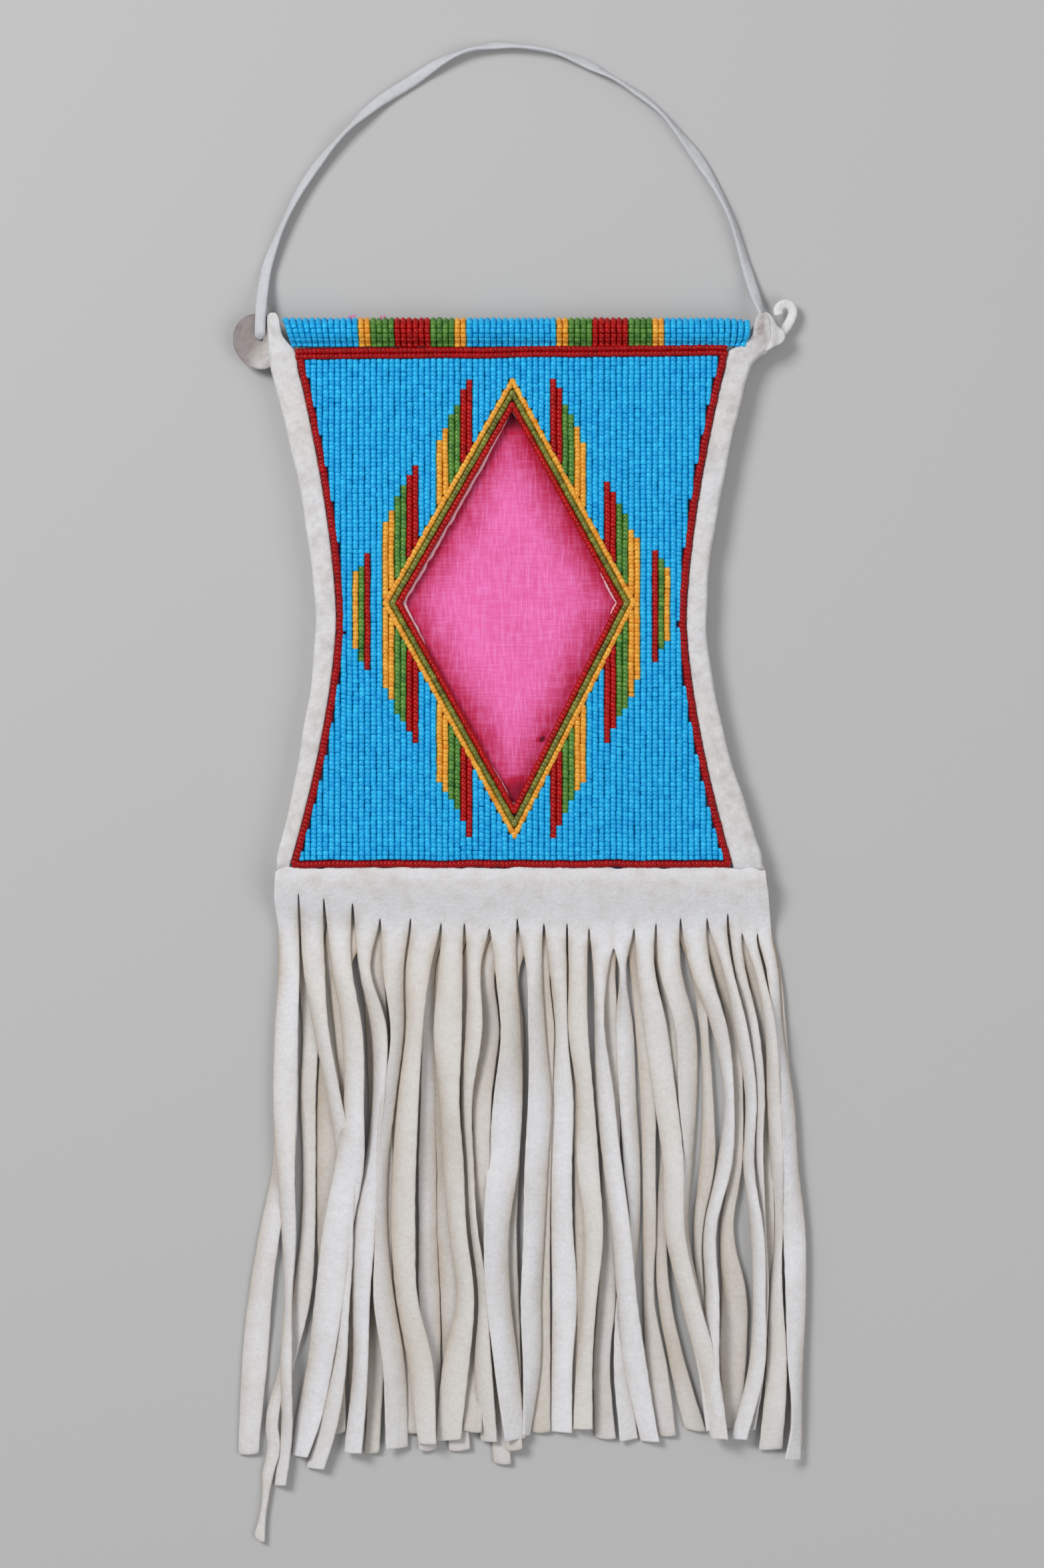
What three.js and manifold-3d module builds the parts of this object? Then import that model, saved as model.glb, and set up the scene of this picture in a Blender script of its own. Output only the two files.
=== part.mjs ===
// Beaded flat bag of white hide, lying on its back.
// Millimetres. X runs across the bag, Y from the fringe towards the handle, Z up out of the beaded face.

import * as THREE from 'three';
import { mergeVertices } from 'three/addons/utils/BufferGeometryUtils.js';
import Module from 'manifold-3d';

const wasm = await Module();
wasm.setup();

// Stock thicknesses and the gap kept between pieces that touch
const hideThickness = 1.3;
const bindingThickness = 1.2;
const clothThickness = 0.5;
const pocketDepth = 5.2;
const seat = 0.3;

// Bead strings
const stringPitch = 2.25;
const beadHeight = 1.8;
const beadValley = 0.8;
const crestWidth = 1.1;

// Diamond window and its three rows of beads
const diamondHalfWidth = 47;
const diamondHalfHeight = 87;
const windowRim = 0.3;
const cutMargin = 1;

// Beaded field: how far it runs past the diamond, and how its sides flare from the waist
const fieldAbove = 6;
const fieldBelow = 8;
const fieldBeside = 18.5;
const waistLevel = -4.5;
const topFlare = 15.1;
const bottomFlare = 16.8;
const sideCurve = 1.55;
const sideSteps = 12;

// Red border rows
const sideRowWidth = 2.6;
const bottomRowWidth = 2.7;
const topRowsWidth = 5.2;
const rowBevel = 0.6;

// Width of the folded side bindings at the top, the waist and the bottom
const leftBindingTop = 10.9;
const leftBindingWaist = 8.2;
const leftBindingBottom = 6.2;
const rightBindingTop = 9.9;
const rightBindingWaist = 7.7;
const rightBindingBottom = 13;
const bindingFoot = 6;
const bindingTipRise = 12;
const bindingTipWidth = 2;

// Ears that the thong is tied through
const earThickness = 1.3;
const leftEarReach = 3;
const leftEarRadius = 10;
const rightEarReach = 4;
const rightEarRadius = 8.5;
const earLevel = 1.6;
const earHoleRadius = 2.2;

// Pink lining behind the window
const liningInset = 7.5;
const liningMargin = 5;

// Rolled lip at the mouth. Colours and numbers of strings: a plain middle with a pattern on each side,
// and plain ends that take what is left of the lip
const lipRadius = 3;
const lipDrop = 0.1;
const leftLipOverhang = 3.9;
const rightLipOverhang = 8.3;
const lipMiddle = ['turquoise', 15];
const lipPattern = [['yellow', 2], ['green', 4], ['red', 6], ['green', 4], ['yellow', 2]];

// Stepped motifs: side, end, and where the first string stands and how far it reaches,
// as shares of the diamond
const motifStep = 4.4;
const motifs = [
  ['upper_left_inner', -1, 1, 0.335, 0.989],
  ['upper_right_inner', 1, 1, 0.335, 0.989],
  ['lower_left_inner', -1, -1, 0.335, 0.989],
  ['lower_right_inner', 1, -1, 0.335, 0.989],
  ['upper_left_outer', -1, 1, 0.766, 0.609],
  ['upper_right_outer', 1, 1, 0.766, 0.552],
  ['lower_left_outer', -1, -1, 0.766, 0.598],
  ['lower_right_outer', 1, -1, 0.766, 0.586],
];
const sideMotifShares = { across: 1.149, reach: [0.247, 0.195, 0.155] };
const motifColours = ['red', 'green', 'yellow'];

// Fringe: a band sewn over the bottom edge, cut into strands
const hemDepth = 5;
const fringeBandDepth = 18;
const fringeFlat = 6;
const fringeSteps = 6;
const strandSlit = 0.7;
const leftFringeInset = 1.8;
const rightFringeInset = 0.4;

// Front strands: share of the band, sideways drift at each quarter of the length, the length,
// and how much of its width a strand loses half way down as it turns on edge,
// below 0 where the left edge is the one that stands up
const edgeRise = 1.4;
const frontStrands = [
  [8.75, -0.6, -0.2, -0.4, -3.1, 215, 0.6], [9.5, 5.3, 12.6, 11.2, 1.0, 209, 0.47],
  [10.75, 5.3, 2.7, -4.8, -15.0, 204, 0.27], [10.25, 4.7, 0.9, -2.2, -5.3, 202, 0.53],
  [11.5, 0.1, -4.8, -3.1, 0.9, 201, -0.6], [11.5, -5.1, -8.3, -6.1, 0.4, 199, 0.43],
  [8.75, -1.8, 0.4, 3.9, -1.9, 198, 0.2], [9.5, -1.9, -2.5, 2.0, 4.4, 198, 0.6],
  [10.5, 2.7, -0.6, -1.2, 4.6, 198, -0.24], [10, 2.8, 2.1, 0.3, -1.2, 196, -0.35],
  [8.75, 1.9, 1.9, 3.4, 1.9, 195, 0.45], [8.25, 0.5, 4.0, 4.1, 1.7, 194, 0.3],
  [9.25, -0.3, 4.8, 10.2, 18.2, 198, 0.59], [7.75, 0.8, 3.3, 0.3, 2.1, 198, -0.48],
  [8.25, 5.0, 10.6, 17.5, 27.7, 197, 0.091], [9.25, 6.9, 7.1, 9.4, 17.7, 194, -0.59],
  [10, 10.4, 10.6, 6.8, 8.5, 195, 0.6], [7.75, 9.8, 12.2, 15.4, 7.9, 197, 0.51],
  [5.5, 7.2, 8.9, 10.1, 5.2, 194, 0.55], [5.75, 7.9, 10.2, 9.8, 7.9, 202, 0.44],
  [5.25, 6.1, 10.5, 11.8, 10.7, 205, -0.24],
];

// Back strands, in the same order of values; these lie flat
const backStrands = [
  [9.3, -0.7, -3.7, -11.5, -15.3, 204, 0.16], [9.3, -1.7, -2.1, -11.9, -20.3, 236, 0.49],
  [9.3, -3.0, -4.5, -3.1, 0.2, 196, 0.34], [9.3, -7.2, -2.8, -2.8, -2.3, 197, 0.41],
  [9.3, -3.8, -2.2, -3.3, -6.3, 204, 0.25], [9.3, -3.8, -5.6, -4.2, 0.4, 196, 0.14],
  [9.3, -2.9, -3.5, -2.5, -3.4, 202, -0.38], [9.3, -6.2, -5.4, -4.1, -0.9, 202, 0.2],
  [9.3, -6.1, -5.5, -4.6, -5.6, 195, 0.2], [9.3, -9.0, -10.7, -6.9, -3.4, 208, 0.36],
  [9.3, -9.2, -10.6, -10.0, -8.3, 202, 0.2], [9.3, -6.0, -7.7, -7.5, -7.8, 196, 0.3],
  [9.3, -3.0, -1.1, -1.2, -3.2, 194, 0.41], [9.3, 0.1, -0.4, -1.7, -1.9, 198, 0.52],
  [9.3, 3.2, 5.2, 5.5, 12.3, 197, 0.59], [9.3, 4.6, 2.5, 2.1, 13.5, 195, 0.52],
  [9.3, 7.5, 8.0, 6.1, 10.8, 194, 0.6], [9.3, 9.4, 9.7, 9.3, 8.5, 194, 0.55],
  [9.3, 10.3, 12.8, 13.1, 14.2, 196, 0.6], [9.3, 8.0, 11.8, 13.5, 14.2, 201, 0.46],
];

// Thong: a flat lace that lies in an arch from ear to ear
const thongWidth = 4.4;
const thongThickness = 2;
const thongSteps = 32;

// Its run off each ear: distance past the ear's edge, lean inwards, and share of the ear's height
const leftRun = [[0.4, 0.3, 1], [6.4, 0.7, 0.65], [13.4, 1.5, 0.2], [20.4, 3.1, 0.03]];
const rightRun = [[0.9, 0.3, 1], [6.9, 1.9, 0.65], [13.9, 3.9, 0.2], [21.9, 6.3, 0.03]];

// Its arch on the floor: share of the half span from ear to ear, and rise above the mouth
const thongArch = [
  [-0.916, 43], [-0.836, 58], [-0.72, 73], [-0.561, 88], [-0.402, 98], [-0.249, 107], [-0.074, 111.5],
  [0.085, 110.5], [0.243, 107], [0.402, 99.5], [0.561, 89.5], [0.698, 75], [0.799, 61], [0.878, 46],
];

// Knots, and the curl of the tail from the right one: sideways, along and up
const tailCurl = [[0, 0, 1.5], [9, 5, 1.5], [13, 12, 1.5], [9, 16, 2.4], [5, 13, 3.6]];
const knotRadius = 3.4;
const knotHeight = 3.2;
const neckRadius = 1.5;
const tailRadius = 1.2;

// Levels up the bag, each from the one below it
const backTop = hideThickness;
const liningBottom = backTop + pocketDepth;
const liningTop = liningBottom + clothThickness;
const frontBottom = liningTop + seat;
const frontTop = frontBottom + hideThickness;
const beadBottom = frontTop + seat;
const beadTop = beadBottom + beadHeight;
const bindingBottom = backTop + seat;
const flangeTop = beadBottom + bindingThickness;
const earBottom = bindingBottom + bindingThickness + earLevel;
const earTop = earBottom + earThickness;

// Levels along the bag and half widths of the beaded field
const fieldTop = diamondHalfHeight + fieldAbove;
const fieldBottom = -diamondHalfHeight - fieldBelow;
const fieldWaistHalf = diamondHalfWidth + fieldBeside;
const fieldTopHalf = fieldWaistHalf + topFlare;
const fieldBottomHalf = fieldWaistHalf + bottomFlare;
const bottomRowEdge = fieldBottom - bottomRowWidth;
const topRowsEdge = fieldTop + topRowsWidth;
const hemLevel = bottomRowEdge - seat;
const bagBottom = hemLevel - hemDepth;
const slitLevel = hemLevel - fringeBandDepth;
const lipOuter = lipRadius + seat + beadHeight;
const lipY = topRowsEdge + seat + lipOuter;
const lipZ = frontTop - lipDrop;

// Bands of the rolled lip from left to right, and its two ends
const patternedHalf = stringPitch * lipPattern.reduce((sum, band) => sum + band[1], lipMiddle[1] / 2);
const leftEndStrings = Math.floor((fieldTopHalf + leftLipOverhang - patternedHalf) / stringPitch);
const rightEndStrings = Math.floor((fieldTopHalf + rightLipOverhang - patternedHalf) / stringPitch);
const lipBands = [
  [lipMiddle[0], leftEndStrings], ...lipPattern, lipMiddle, ...lipPattern, [lipMiddle[0], rightEndStrings],
];
const lipLeft = -patternedHalf - leftEndStrings * stringPitch;
const lipRight = patternedHalf + rightEndStrings * stringPitch;

// Half width of an hourglass edge at one level
function hourglass(y, top, waist, bottom) {
  const upper = y > waistLevel;
  const flare = (upper ? top : bottom) - waist;
  const reach = upper ? fieldTop - waistLevel : waistLevel - fieldBottom;
  return waist + flare * (Math.abs(y - waistLevel) / reach) ** sideCurve;
}

const fieldHalf = (y) => hourglass(y, fieldTopHalf, fieldWaistHalf, fieldBottomHalf);
const leftBinding = (y) => hourglass(y, leftBindingTop, leftBindingWaist, leftBindingBottom);
const rightBinding = (y) => hourglass(y, rightBindingTop, rightBindingWaist, rightBindingBottom);
const leftOuter = (y) => -fieldHalf(y) - leftBinding(y);
const rightOuter = (y) => fieldHalf(y) + rightBinding(y);
const fringeLeft = leftOuter(bagBottom) + leftFringeInset;
const fringeRight = rightOuter(bagBottom) - rightFringeInset;

// Shapes, solids and meshes
function edgePoints(edge, from, to) {
  const points = [];
  for (let i = 0; i <= sideSteps; i += 1) {
    const y = from + (to - from) * i / sideSteps;
    points.push(new THREE.Vector2(edge(y), y));
  }
  return points;
}

function stripShape(leftEdge, rightEdge, from, to) {
  return new THREE.Shape([...edgePoints(rightEdge, from, to), ...edgePoints(leftEdge, to, from)]);
}

function polygon(points) {
  return new THREE.Shape(points.map(([x, y]) => new THREE.Vector2(x, y)));
}

function oval(x, y, radiusX, radiusY, sides) {
  const points = [];
  for (let i = 0; i < sides; i += 1) {
    const angle = 2 * Math.PI * i / sides;
    points.push([x + radiusX * Math.cos(angle), y + radiusY * Math.sin(angle)]);
  }
  return polygon(points);
}

function diamond(scale) {
  const x = diamondHalfWidth * scale;
  const y = diamondHalfHeight * scale;
  return polygon([[x, 0], [0, y], [-x, 0], [0, -y]]);
}

function solid(geometry) {
  const plain = geometry.clone();
  plain.deleteAttribute('normal');
  plain.deleteAttribute('uv');
  const merged = mergeVertices(plain);
  return new wasm.Manifold(new wasm.Mesh({
    numProp: 3,
    vertProperties: new Float32Array(merged.attributes.position.array),
    triVerts: new Uint32Array(merged.index.array),
  }));
}

function prism(shape, bottom, top) {
  const geometry = new THREE.ExtrudeGeometry(shape, { depth: top - bottom, bevelEnabled: false });
  return solid(geometry.translate(0, 0, bottom));
}

function box(low, high) {
  const size = high.map((value, axis) => value - low[axis]);
  const middle = high.map((value, axis) => (value + low[axis]) / 2);
  return solid(new THREE.BoxGeometry(...size).translate(...middle));
}

function union(parts) {
  return parts.reduce((sum, part) => sum.add(part));
}

const bag = new THREE.Group();
bag.name = 'beaded_flat_bag';

const looks = {
  hide: { color: 0xdcd9d3, roughness: 0.9, metalness: 0 },
  suede: { color: 0xd6d2cc, roughness: 0.95, metalness: 0 },
  cloth: { color: 0xe06a9c, roughness: 0.9, metalness: 0 },
  turquoise: { color: 0x2ba6dd, roughness: 0.25, metalness: 0 },
  red: { color: 0x9a1218, roughness: 0.25, metalness: 0 },
  green: { color: 0x3f7a2c, roughness: 0.25, metalness: 0 },
  yellow: { color: 0xe9a02c, roughness: 0.25, metalness: 0 },
};

function addMesh(name, look, body) {
  const source = body.getMesh();
  const geometry = new THREE.BufferGeometry();
  geometry.setAttribute('position', new THREE.BufferAttribute(new Float32Array(source.vertProperties), 3));
  geometry.setIndex(new THREE.BufferAttribute(new Uint32Array(source.triVerts), 1));
  const mesh = new THREE.Mesh(geometry, new THREE.MeshStandardMaterial(looks[look]));
  mesh.name = name;
  bag.add(mesh);
}

// Panels: the back, the front with its window and rolled lip, and the lining between them
const insideLeft = (y) => leftOuter(y) + bindingThickness + seat;
const insideRight = (y) => rightOuter(y) - bindingThickness - seat;
const diamondDepth = diamondHalfWidth * diamondHalfHeight / Math.hypot(diamondHalfWidth, diamondHalfHeight);
const windowScale = 1 - (3 * stringPitch + windowRim) / diamondDepth;

addMesh('back_panel', 'hide', prism(stripShape(leftOuter, rightOuter, bagBottom, topRowsEdge), 0, backTop));

const frontShape = stripShape(insideLeft, insideRight, bagBottom + seat, topRowsEdge);
frontShape.holes.push(diamond(windowScale));
const lipGeometry = new THREE.ExtrudeGeometry(oval(0, 0, lipRadius, lipRadius, 16), {
  depth: lipRight - lipLeft,
  bevelEnabled: false,
});
lipGeometry.rotateY(Math.PI / 2).translate(lipLeft, lipY, lipZ);
const lipCore = solid(lipGeometry).subtract(
  box(
    [lipLeft - cutMargin, lipY - lipOuter, lipZ - 2 * lipOuter],
    [lipRight + cutMargin, lipY + lipOuter, liningBottom],
  ),
);
const lipFlap = box([lipLeft, fieldTop, frontBottom], [lipRight, lipY, frontTop]);
addMesh('front_panel', 'hide', union([prism(frontShape, frontBottom, frontTop), lipFlap, lipCore]));

const liningHalf = fieldWaistHalf - liningInset;
const liningShape = polygon([
  [-liningHalf, fieldBottom + liningMargin], [liningHalf, fieldBottom + liningMargin],
  [liningHalf, topRowsEdge], [-liningHalf, topRowsEdge],
]);
addMesh('window_lining', 'cloth', prism(liningShape, liningBottom, liningTop));

// Side bindings: a strip folded into a channel, from a foot on the back panel to a flange over the front
function sideBinding(side, outer, lipEnd, earReach, earRadius) {
  const inward = (distance) => (y) => outer(y) - side * distance;
  const fieldSide = (y) => side * (fieldHalf(y) + seat);
  const flangeEnd = topRowsEdge - seat;
  const tipTop = flangeEnd + bindingTipRise;
  const earX = outer(fieldTop) + side * earReach;
  const ear = oval(earX, lipY - earReach, earRadius, earRadius, 20);
  ear.holes.push(oval(earX, lipY - earReach, earHoleRadius, earHoleRadius, 12));
  const tip = polygon([
    [outer(flangeEnd), flangeEnd - 2 * seat],
    [outer(flangeEnd), tipTop],
    [outer(flangeEnd) - side * bindingTipWidth, tipTop],
    [lipEnd + side * seat, flangeEnd],
    [lipEnd + side * seat, flangeEnd - 2 * seat],
  ]);
  return union([
    prism(stripShape(outer, inward(bindingFoot), hemLevel + seat, flangeEnd), bindingBottom,
      bindingBottom + bindingThickness),
    prism(stripShape(outer, inward(bindingThickness), hemLevel + seat, flangeEnd), bindingBottom,
      flangeTop),
    prism(stripShape(outer, fieldSide, hemLevel + seat, flangeEnd), beadBottom, flangeTop),
    prism(tip, beadBottom, flangeTop),
    prism(ear, earBottom, earTop),
  ]);
}

addMesh('left_side_binding', 'suede', sideBinding(-1, leftOuter, lipLeft, leftEarReach, leftEarRadius));
addMesh('right_side_binding', 'suede', sideBinding(1, rightOuter, lipRight, rightEarReach, rightEarRadius));

// Sheet of bead strings, ridged across X, that every colour field is cut from
const stringCount = Math.ceil(Math.max(fieldTopHalf, fieldBottomHalf) / stringPitch);
const sheetPoints = [];
for (let i = -stringCount; i <= stringCount; i += 1) {
  const x = i * stringPitch;
  sheetPoints.push([x - stringPitch / 2, beadValley], [x - crestWidth / 2, beadHeight]);
  sheetPoints.push([x + crestWidth / 2, beadHeight]);
}
const sheetEdge = (stringCount + 0.5) * stringPitch;
sheetPoints.push([sheetEdge, beadValley], [sheetEdge, 0], [-sheetEdge, 0]);
const sheetGeometry = new THREE.ExtrudeGeometry(polygon(sheetPoints), {
  depth: fieldTop - fieldBottom,
  bevelEnabled: false,
});
sheetGeometry.rotateX(Math.PI / 2).translate(0, fieldTop, beadBottom);
const beadSheet = solid(sheetGeometry);

// Stepped motifs, each colour two strings wide, running from the steps to the diamond
const cutBottom = beadBottom - cutMargin;
const cutTop = beadTop + cutMargin;
const diamondCut = prism(diamond(1 + seat / diamondDepth), cutBottom, cutTop);

function stepShape(side, end, first, strings, reach, drop, grow) {
  const inner = first * stringPitch - stringPitch / 2 - grow;
  const outer = inner + strings * stringPitch + 2 * grow;
  const points = [[inner, -grow], [outer, -grow]];
  for (let i = strings - 1; i >= 0; i -= 1) {
    const right = i === strings - 1 ? outer : inner + grow + (i + 1) * stringPitch;
    const left = i === 0 ? inner : inner + grow + i * stringPitch;
    points.push([right, reach - i * drop + grow], [left, reach - i * drop + grow]);
  }
  return polygon(points.map(([x, y]) => [side * x, end * y]));
}

let turquoise = beadSheet.intersect(
  prism(stripShape(
    (y) => -fieldHalf(y) + sideRowWidth + seat,
    (y) => fieldHalf(y) - sideRowWidth - seat,
    fieldBottom + seat,
    fieldTop - seat,
  ), cutBottom, cutTop),
).subtract(diamondCut);

const stringAt = (share) => Math.round(share * diamondHalfWidth / stringPitch);
for (const [name, side, end, across, up] of motifs) {
  const first = stringAt(across);
  const reach = up * diamondHalfHeight;
  const all = stepShape(side, end, first, 6, reach, motifStep, seat / 2);
  turquoise = turquoise.subtract(prism(all, cutBottom, cutTop));
  motifColours.forEach((colour, i) => {
    const shape = stepShape(side, end, first + 2 * i, 2, reach - 2 * i * motifStep, motifStep, -seat / 2);
    const strings = beadSheet.intersect(prism(shape, cutBottom, cutTop));
    addMesh(`${name}_${colour}`, colour, strings.subtract(diamondCut));
  });
}

for (const [name, side] of [['left', -1], ['right', 1]]) {
  motifColours.forEach((colour, i) => {
    const bar = (grow) => {
      const string = stringAt(sideMotifShares.across) + i;
      const inner = side * ((string - 0.5) * stringPitch - grow);
      const outer = side * ((string + 0.5) * stringPitch + grow);
      const reach = sideMotifShares.reach[i] * diamondHalfHeight + grow;
      const shape = polygon([[inner, -reach], [outer, -reach], [outer, reach], [inner, reach]]);
      return prism(shape, cutBottom, cutTop);
    };
    turquoise = turquoise.subtract(bar(seat / 2));
    addMesh(`${name}_side_motif_${colour}`, colour, beadSheet.intersect(bar(-seat / 2)));
  });
}

addMesh('turquoise_field', 'turquoise', turquoise);

// Rows of beads round the window, each a ridge mitred at the four corners
['yellow', 'green', 'red'].forEach((colour, row) => {
  const outer = 1 - (row * stringPitch + seat / 2) / diamondDepth;
  const inner = 1 - ((row + 1) * stringPitch - seat / 2) / diamondDepth;
  const slope = (outer - inner) * (1 - crestWidth / stringPitch) / 2;
  const profile = [
    [outer, 0], [outer, beadValley], [outer - slope, beadHeight],
    [inner + slope, beadHeight], [inner, beadValley], [inner, 0], [outer, 0],
  ];
  const ring = new THREE.LatheGeometry(profile.map(([r, z]) => new THREE.Vector2(r, z)), 4);
  ring.rotateX(Math.PI / 2).scale(diamondHalfWidth, diamondHalfHeight, 1).translate(0, 0, beadBottom);
  addMesh(`window_row_${colour}`, colour, solid(ring));
});

// Red border round the field, with a groove between the two rows along the top
const borderShape = stripShape((y) => -fieldHalf(y), fieldHalf, bottomRowEdge, topRowsEdge);
borderShape.holes.push(stripShape(
  (y) => -fieldHalf(y) + sideRowWidth,
  (y) => fieldHalf(y) - sideRowWidth,
  fieldBottom,
  fieldTop,
));
const borderGeometry = new THREE.ExtrudeGeometry(borderShape, {
  depth: beadHeight - 2 * rowBevel,
  bevelEnabled: true,
  bevelThickness: rowBevel,
  bevelSize: rowBevel,
  bevelOffset: -rowBevel,
  bevelSegments: 1,
});
borderGeometry.translate(0, 0, beadBottom + rowBevel);
const grooveMiddle = (fieldTop + topRowsEdge) / 2;
const groove = box(
  [-fieldTopHalf + sideRowWidth, grooveMiddle - seat, beadBottom + beadValley],
  [fieldTopHalf - sideRowWidth, grooveMiddle + seat, cutTop],
);
addMesh('border_rows', 'red', solid(borderGeometry).subtract(groove));

// Bead strings wrapped over the rolled lip, one ridge a string
const lipUnder = box(
  [lipLeft - cutMargin, lipY - 2 * lipOuter, lipZ - 2 * lipOuter],
  [lipRight + cutMargin, lipY, beadBottom],
).add(box(
  [lipLeft - cutMargin, lipY - 2 * lipOuter, lipZ - 2 * lipOuter],
  [lipRight + cutMargin, lipY + 2 * lipOuter, liningBottom],
));
let bandStart = lipLeft;
lipBands.forEach(([colour, strings], band) => {
  const length = strings * stringPitch - seat;
  const inner = lipRadius + seat;
  const profile = [[inner, 0]];
  for (let i = 0; i < strings; i += 1) {
    profile.push([inner + beadValley, length * i / strings]);
    profile.push([inner + beadHeight, length * (i + 0.5) / strings]);
  }
  profile.push([inner + beadValley, length], [inner, length], [inner, 0]);
  const wrap = new THREE.LatheGeometry(profile.map(([r, z]) => new THREE.Vector2(r, z)), 8);
  wrap.rotateZ(-Math.PI / 2).translate(bandStart + seat / 2, lipY, lipZ);
  const number = String(band + 1).padStart(2, '0');
  addMesh(`lip_band_${number}_${colour}`, colour, solid(wrap).subtract(lipUnder));
  bandStart += strings * stringPitch;
});

// Fringe strands, ribbons that wander from the slits to the tips and turn on edge on the way
function strandSolids(strands, bottom, rise) {
  const total = strands.reduce((sum, strand) => sum + strand[0], 0);
  let left = fringeLeft;
  return strands.map(([share, quarter, half, threeQuarters, tip, length, turn]) => {
    const width = share * (fringeRight - fringeLeft) / total;
    const root = left + width / 2;
    left += width;
    const drifts = [0, 0, quarter, half, threeQuarters, tip];
    const fractions = [-fringeFlat / 2 / length, 0.03, 0.25, 0.5, 0.75, 1];
    const path = new THREE.CatmullRomCurve3(drifts.map((drift, i) => (
      new THREE.Vector3(root + drift, slitLevel - fractions[i] * length, bottom + hideThickness / 2)
    )));
    const ribbon = new THREE.BoxGeometry(width - strandSlit, 1, hideThickness, 1, fringeSteps, 1);
    const corners = ribbon.attributes.position;
    for (let i = 0; i < corners.count; i += 1) {
      const across = corners.getX(i);
      const along = 0.5 - corners.getY(i);
      const middle = path.getPointAt(along);
      const turned = turn * Math.sin(Math.PI * along);
      const x = middle.x + across * (1 - Math.abs(turned));
      const lift = rise * Math.max(0, turned * across);
      corners.setXYZ(i, x, middle.y, middle.z + corners.getZ(i) + lift);
    }
    return solid(ribbon);
  });
}

const backBand = polygon([
  [fringeLeft, slitLevel], [fringeRight, slitLevel],
  [rightOuter(bagBottom), bagBottom - seat], [leftOuter(bagBottom), bagBottom - seat],
]);
addMesh('fringe_back', 'hide', union([
  prism(backBand, 0, hideThickness),
  ...strandSolids(backStrands, 0, 0),
]));

// The front band lies on the front panel, bends down over the bottom edge and joins its strands
const strandBottom = hideThickness + seat;
const slopeEnd = slitLevel + fringeFlat;
const bandProfile = polygon([
  [hemLevel, beadBottom], [hemLevel, beadBottom + hideThickness],
  [bagBottom, beadBottom + hideThickness], [slopeEnd, strandBottom + hideThickness],
  [slitLevel, strandBottom + hideThickness], [slitLevel, strandBottom], [slopeEnd, strandBottom],
  [bagBottom, beadBottom],
]);
const bandGeometry = new THREE.ExtrudeGeometry(bandProfile, {
  depth: fringeRight - fringeLeft,
  bevelEnabled: false,
});
bandGeometry.rotateX(Math.PI / 2).rotateZ(Math.PI / 2).translate(fringeLeft, 0, 0);
addMesh('fringe_front', 'hide', union([
  solid(bandGeometry),
  ...strandSolids(frontStrands, strandBottom, edgeRise),
]));

// Thong and its knots
const leftHole = new THREE.Vector3(leftOuter(fieldTop) - leftEarReach, lipY - leftEarReach, earTop);
const rightHole = new THREE.Vector3(rightOuter(fieldTop) + rightEarReach, lipY - rightEarReach, earTop);
const overEar = earTop + seat + thongThickness / 2;
const onFloor = thongThickness / 2 + seat;
const earRun = (run, hole, side, radius) => run.map(([past, lean, lift]) => (
  new THREE.Vector3(hole.x - side * lean, hole.y + radius + past, onFloor + lift * (overEar - onFloor))
));
const spanMiddle = (leftHole.x + rightHole.x) / 2;
const spanHalf = (rightHole.x - leftHole.x) / 2;
const archPoints = thongArch.map(([share, rise]) => (
  new THREE.Vector3(spanMiddle + share * spanHalf, leftHole.y + rise, onFloor)
));
const thongPath = new THREE.CatmullRomCurve3([
  new THREE.Vector3(leftHole.x, leftHole.y, overEar),
  ...earRun(leftRun, leftHole, -1, leftEarRadius),
  ...archPoints,
  ...earRun(rightRun, rightHole, 1, rightEarRadius).reverse(),
  new THREE.Vector3(rightHole.x, rightHole.y, overEar),
]);
const lace = oval(0, 0, thongThickness / 2, thongWidth / 2, 8);
addMesh('handle_thong', 'suede', solid(new THREE.ExtrudeGeometry(lace, {
  steps: thongSteps,
  extrudePath: thongPath,
  bevelEnabled: false,
})));

function knot(hole) {
  const half = knotHeight / 2;
  const profile = [
    [0, -half], [knotRadius * 0.7, -half * 0.75], [knotRadius, 0], [knotRadius * 0.7, half * 0.75],
    [neckRadius, half], [neckRadius, earTop - half], [0, earTop - half],
  ];
  const geometry = new THREE.LatheGeometry(profile.map(([r, z]) => new THREE.Vector2(r, z)), 8);
  return solid(geometry.rotateX(Math.PI / 2).translate(hole.x, hole.y, half));
}

addMesh('thong_knot_left', 'suede', knot(leftHole));

const tailPath = new THREE.CatmullRomCurve3(tailCurl.map(([x, y, z]) => (
  new THREE.Vector3(rightHole.x + x, rightHole.y + y, z)
)));
const tail = solid(new THREE.ExtrudeGeometry(
  oval(0, 0, tailRadius, tailRadius, 8),
  { steps: 10, extrudePath: tailPath, bevelEnabled: false },
));
addMesh('thong_knot_right', 'suede', knot(rightHole).add(tail));

// Origin: middle of the footprint without the thong, on the surface the bag lies on
const thongNames = ['handle_thong', 'thong_knot_left', 'thong_knot_right'];
const footprint = new THREE.Box3();
for (const mesh of bag.children) {
  if (!thongNames.includes(mesh.name)) footprint.expandByObject(mesh);
}
const middle = footprint.getCenter(new THREE.Vector3());
bag.position.set(-middle.x, -middle.y, -footprint.min.z);

export default bag;
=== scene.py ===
"""Looks of the beaded flat bag: strings of seed beads, white hide, pink lining, fringe and thong."""

import math
import random

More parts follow.
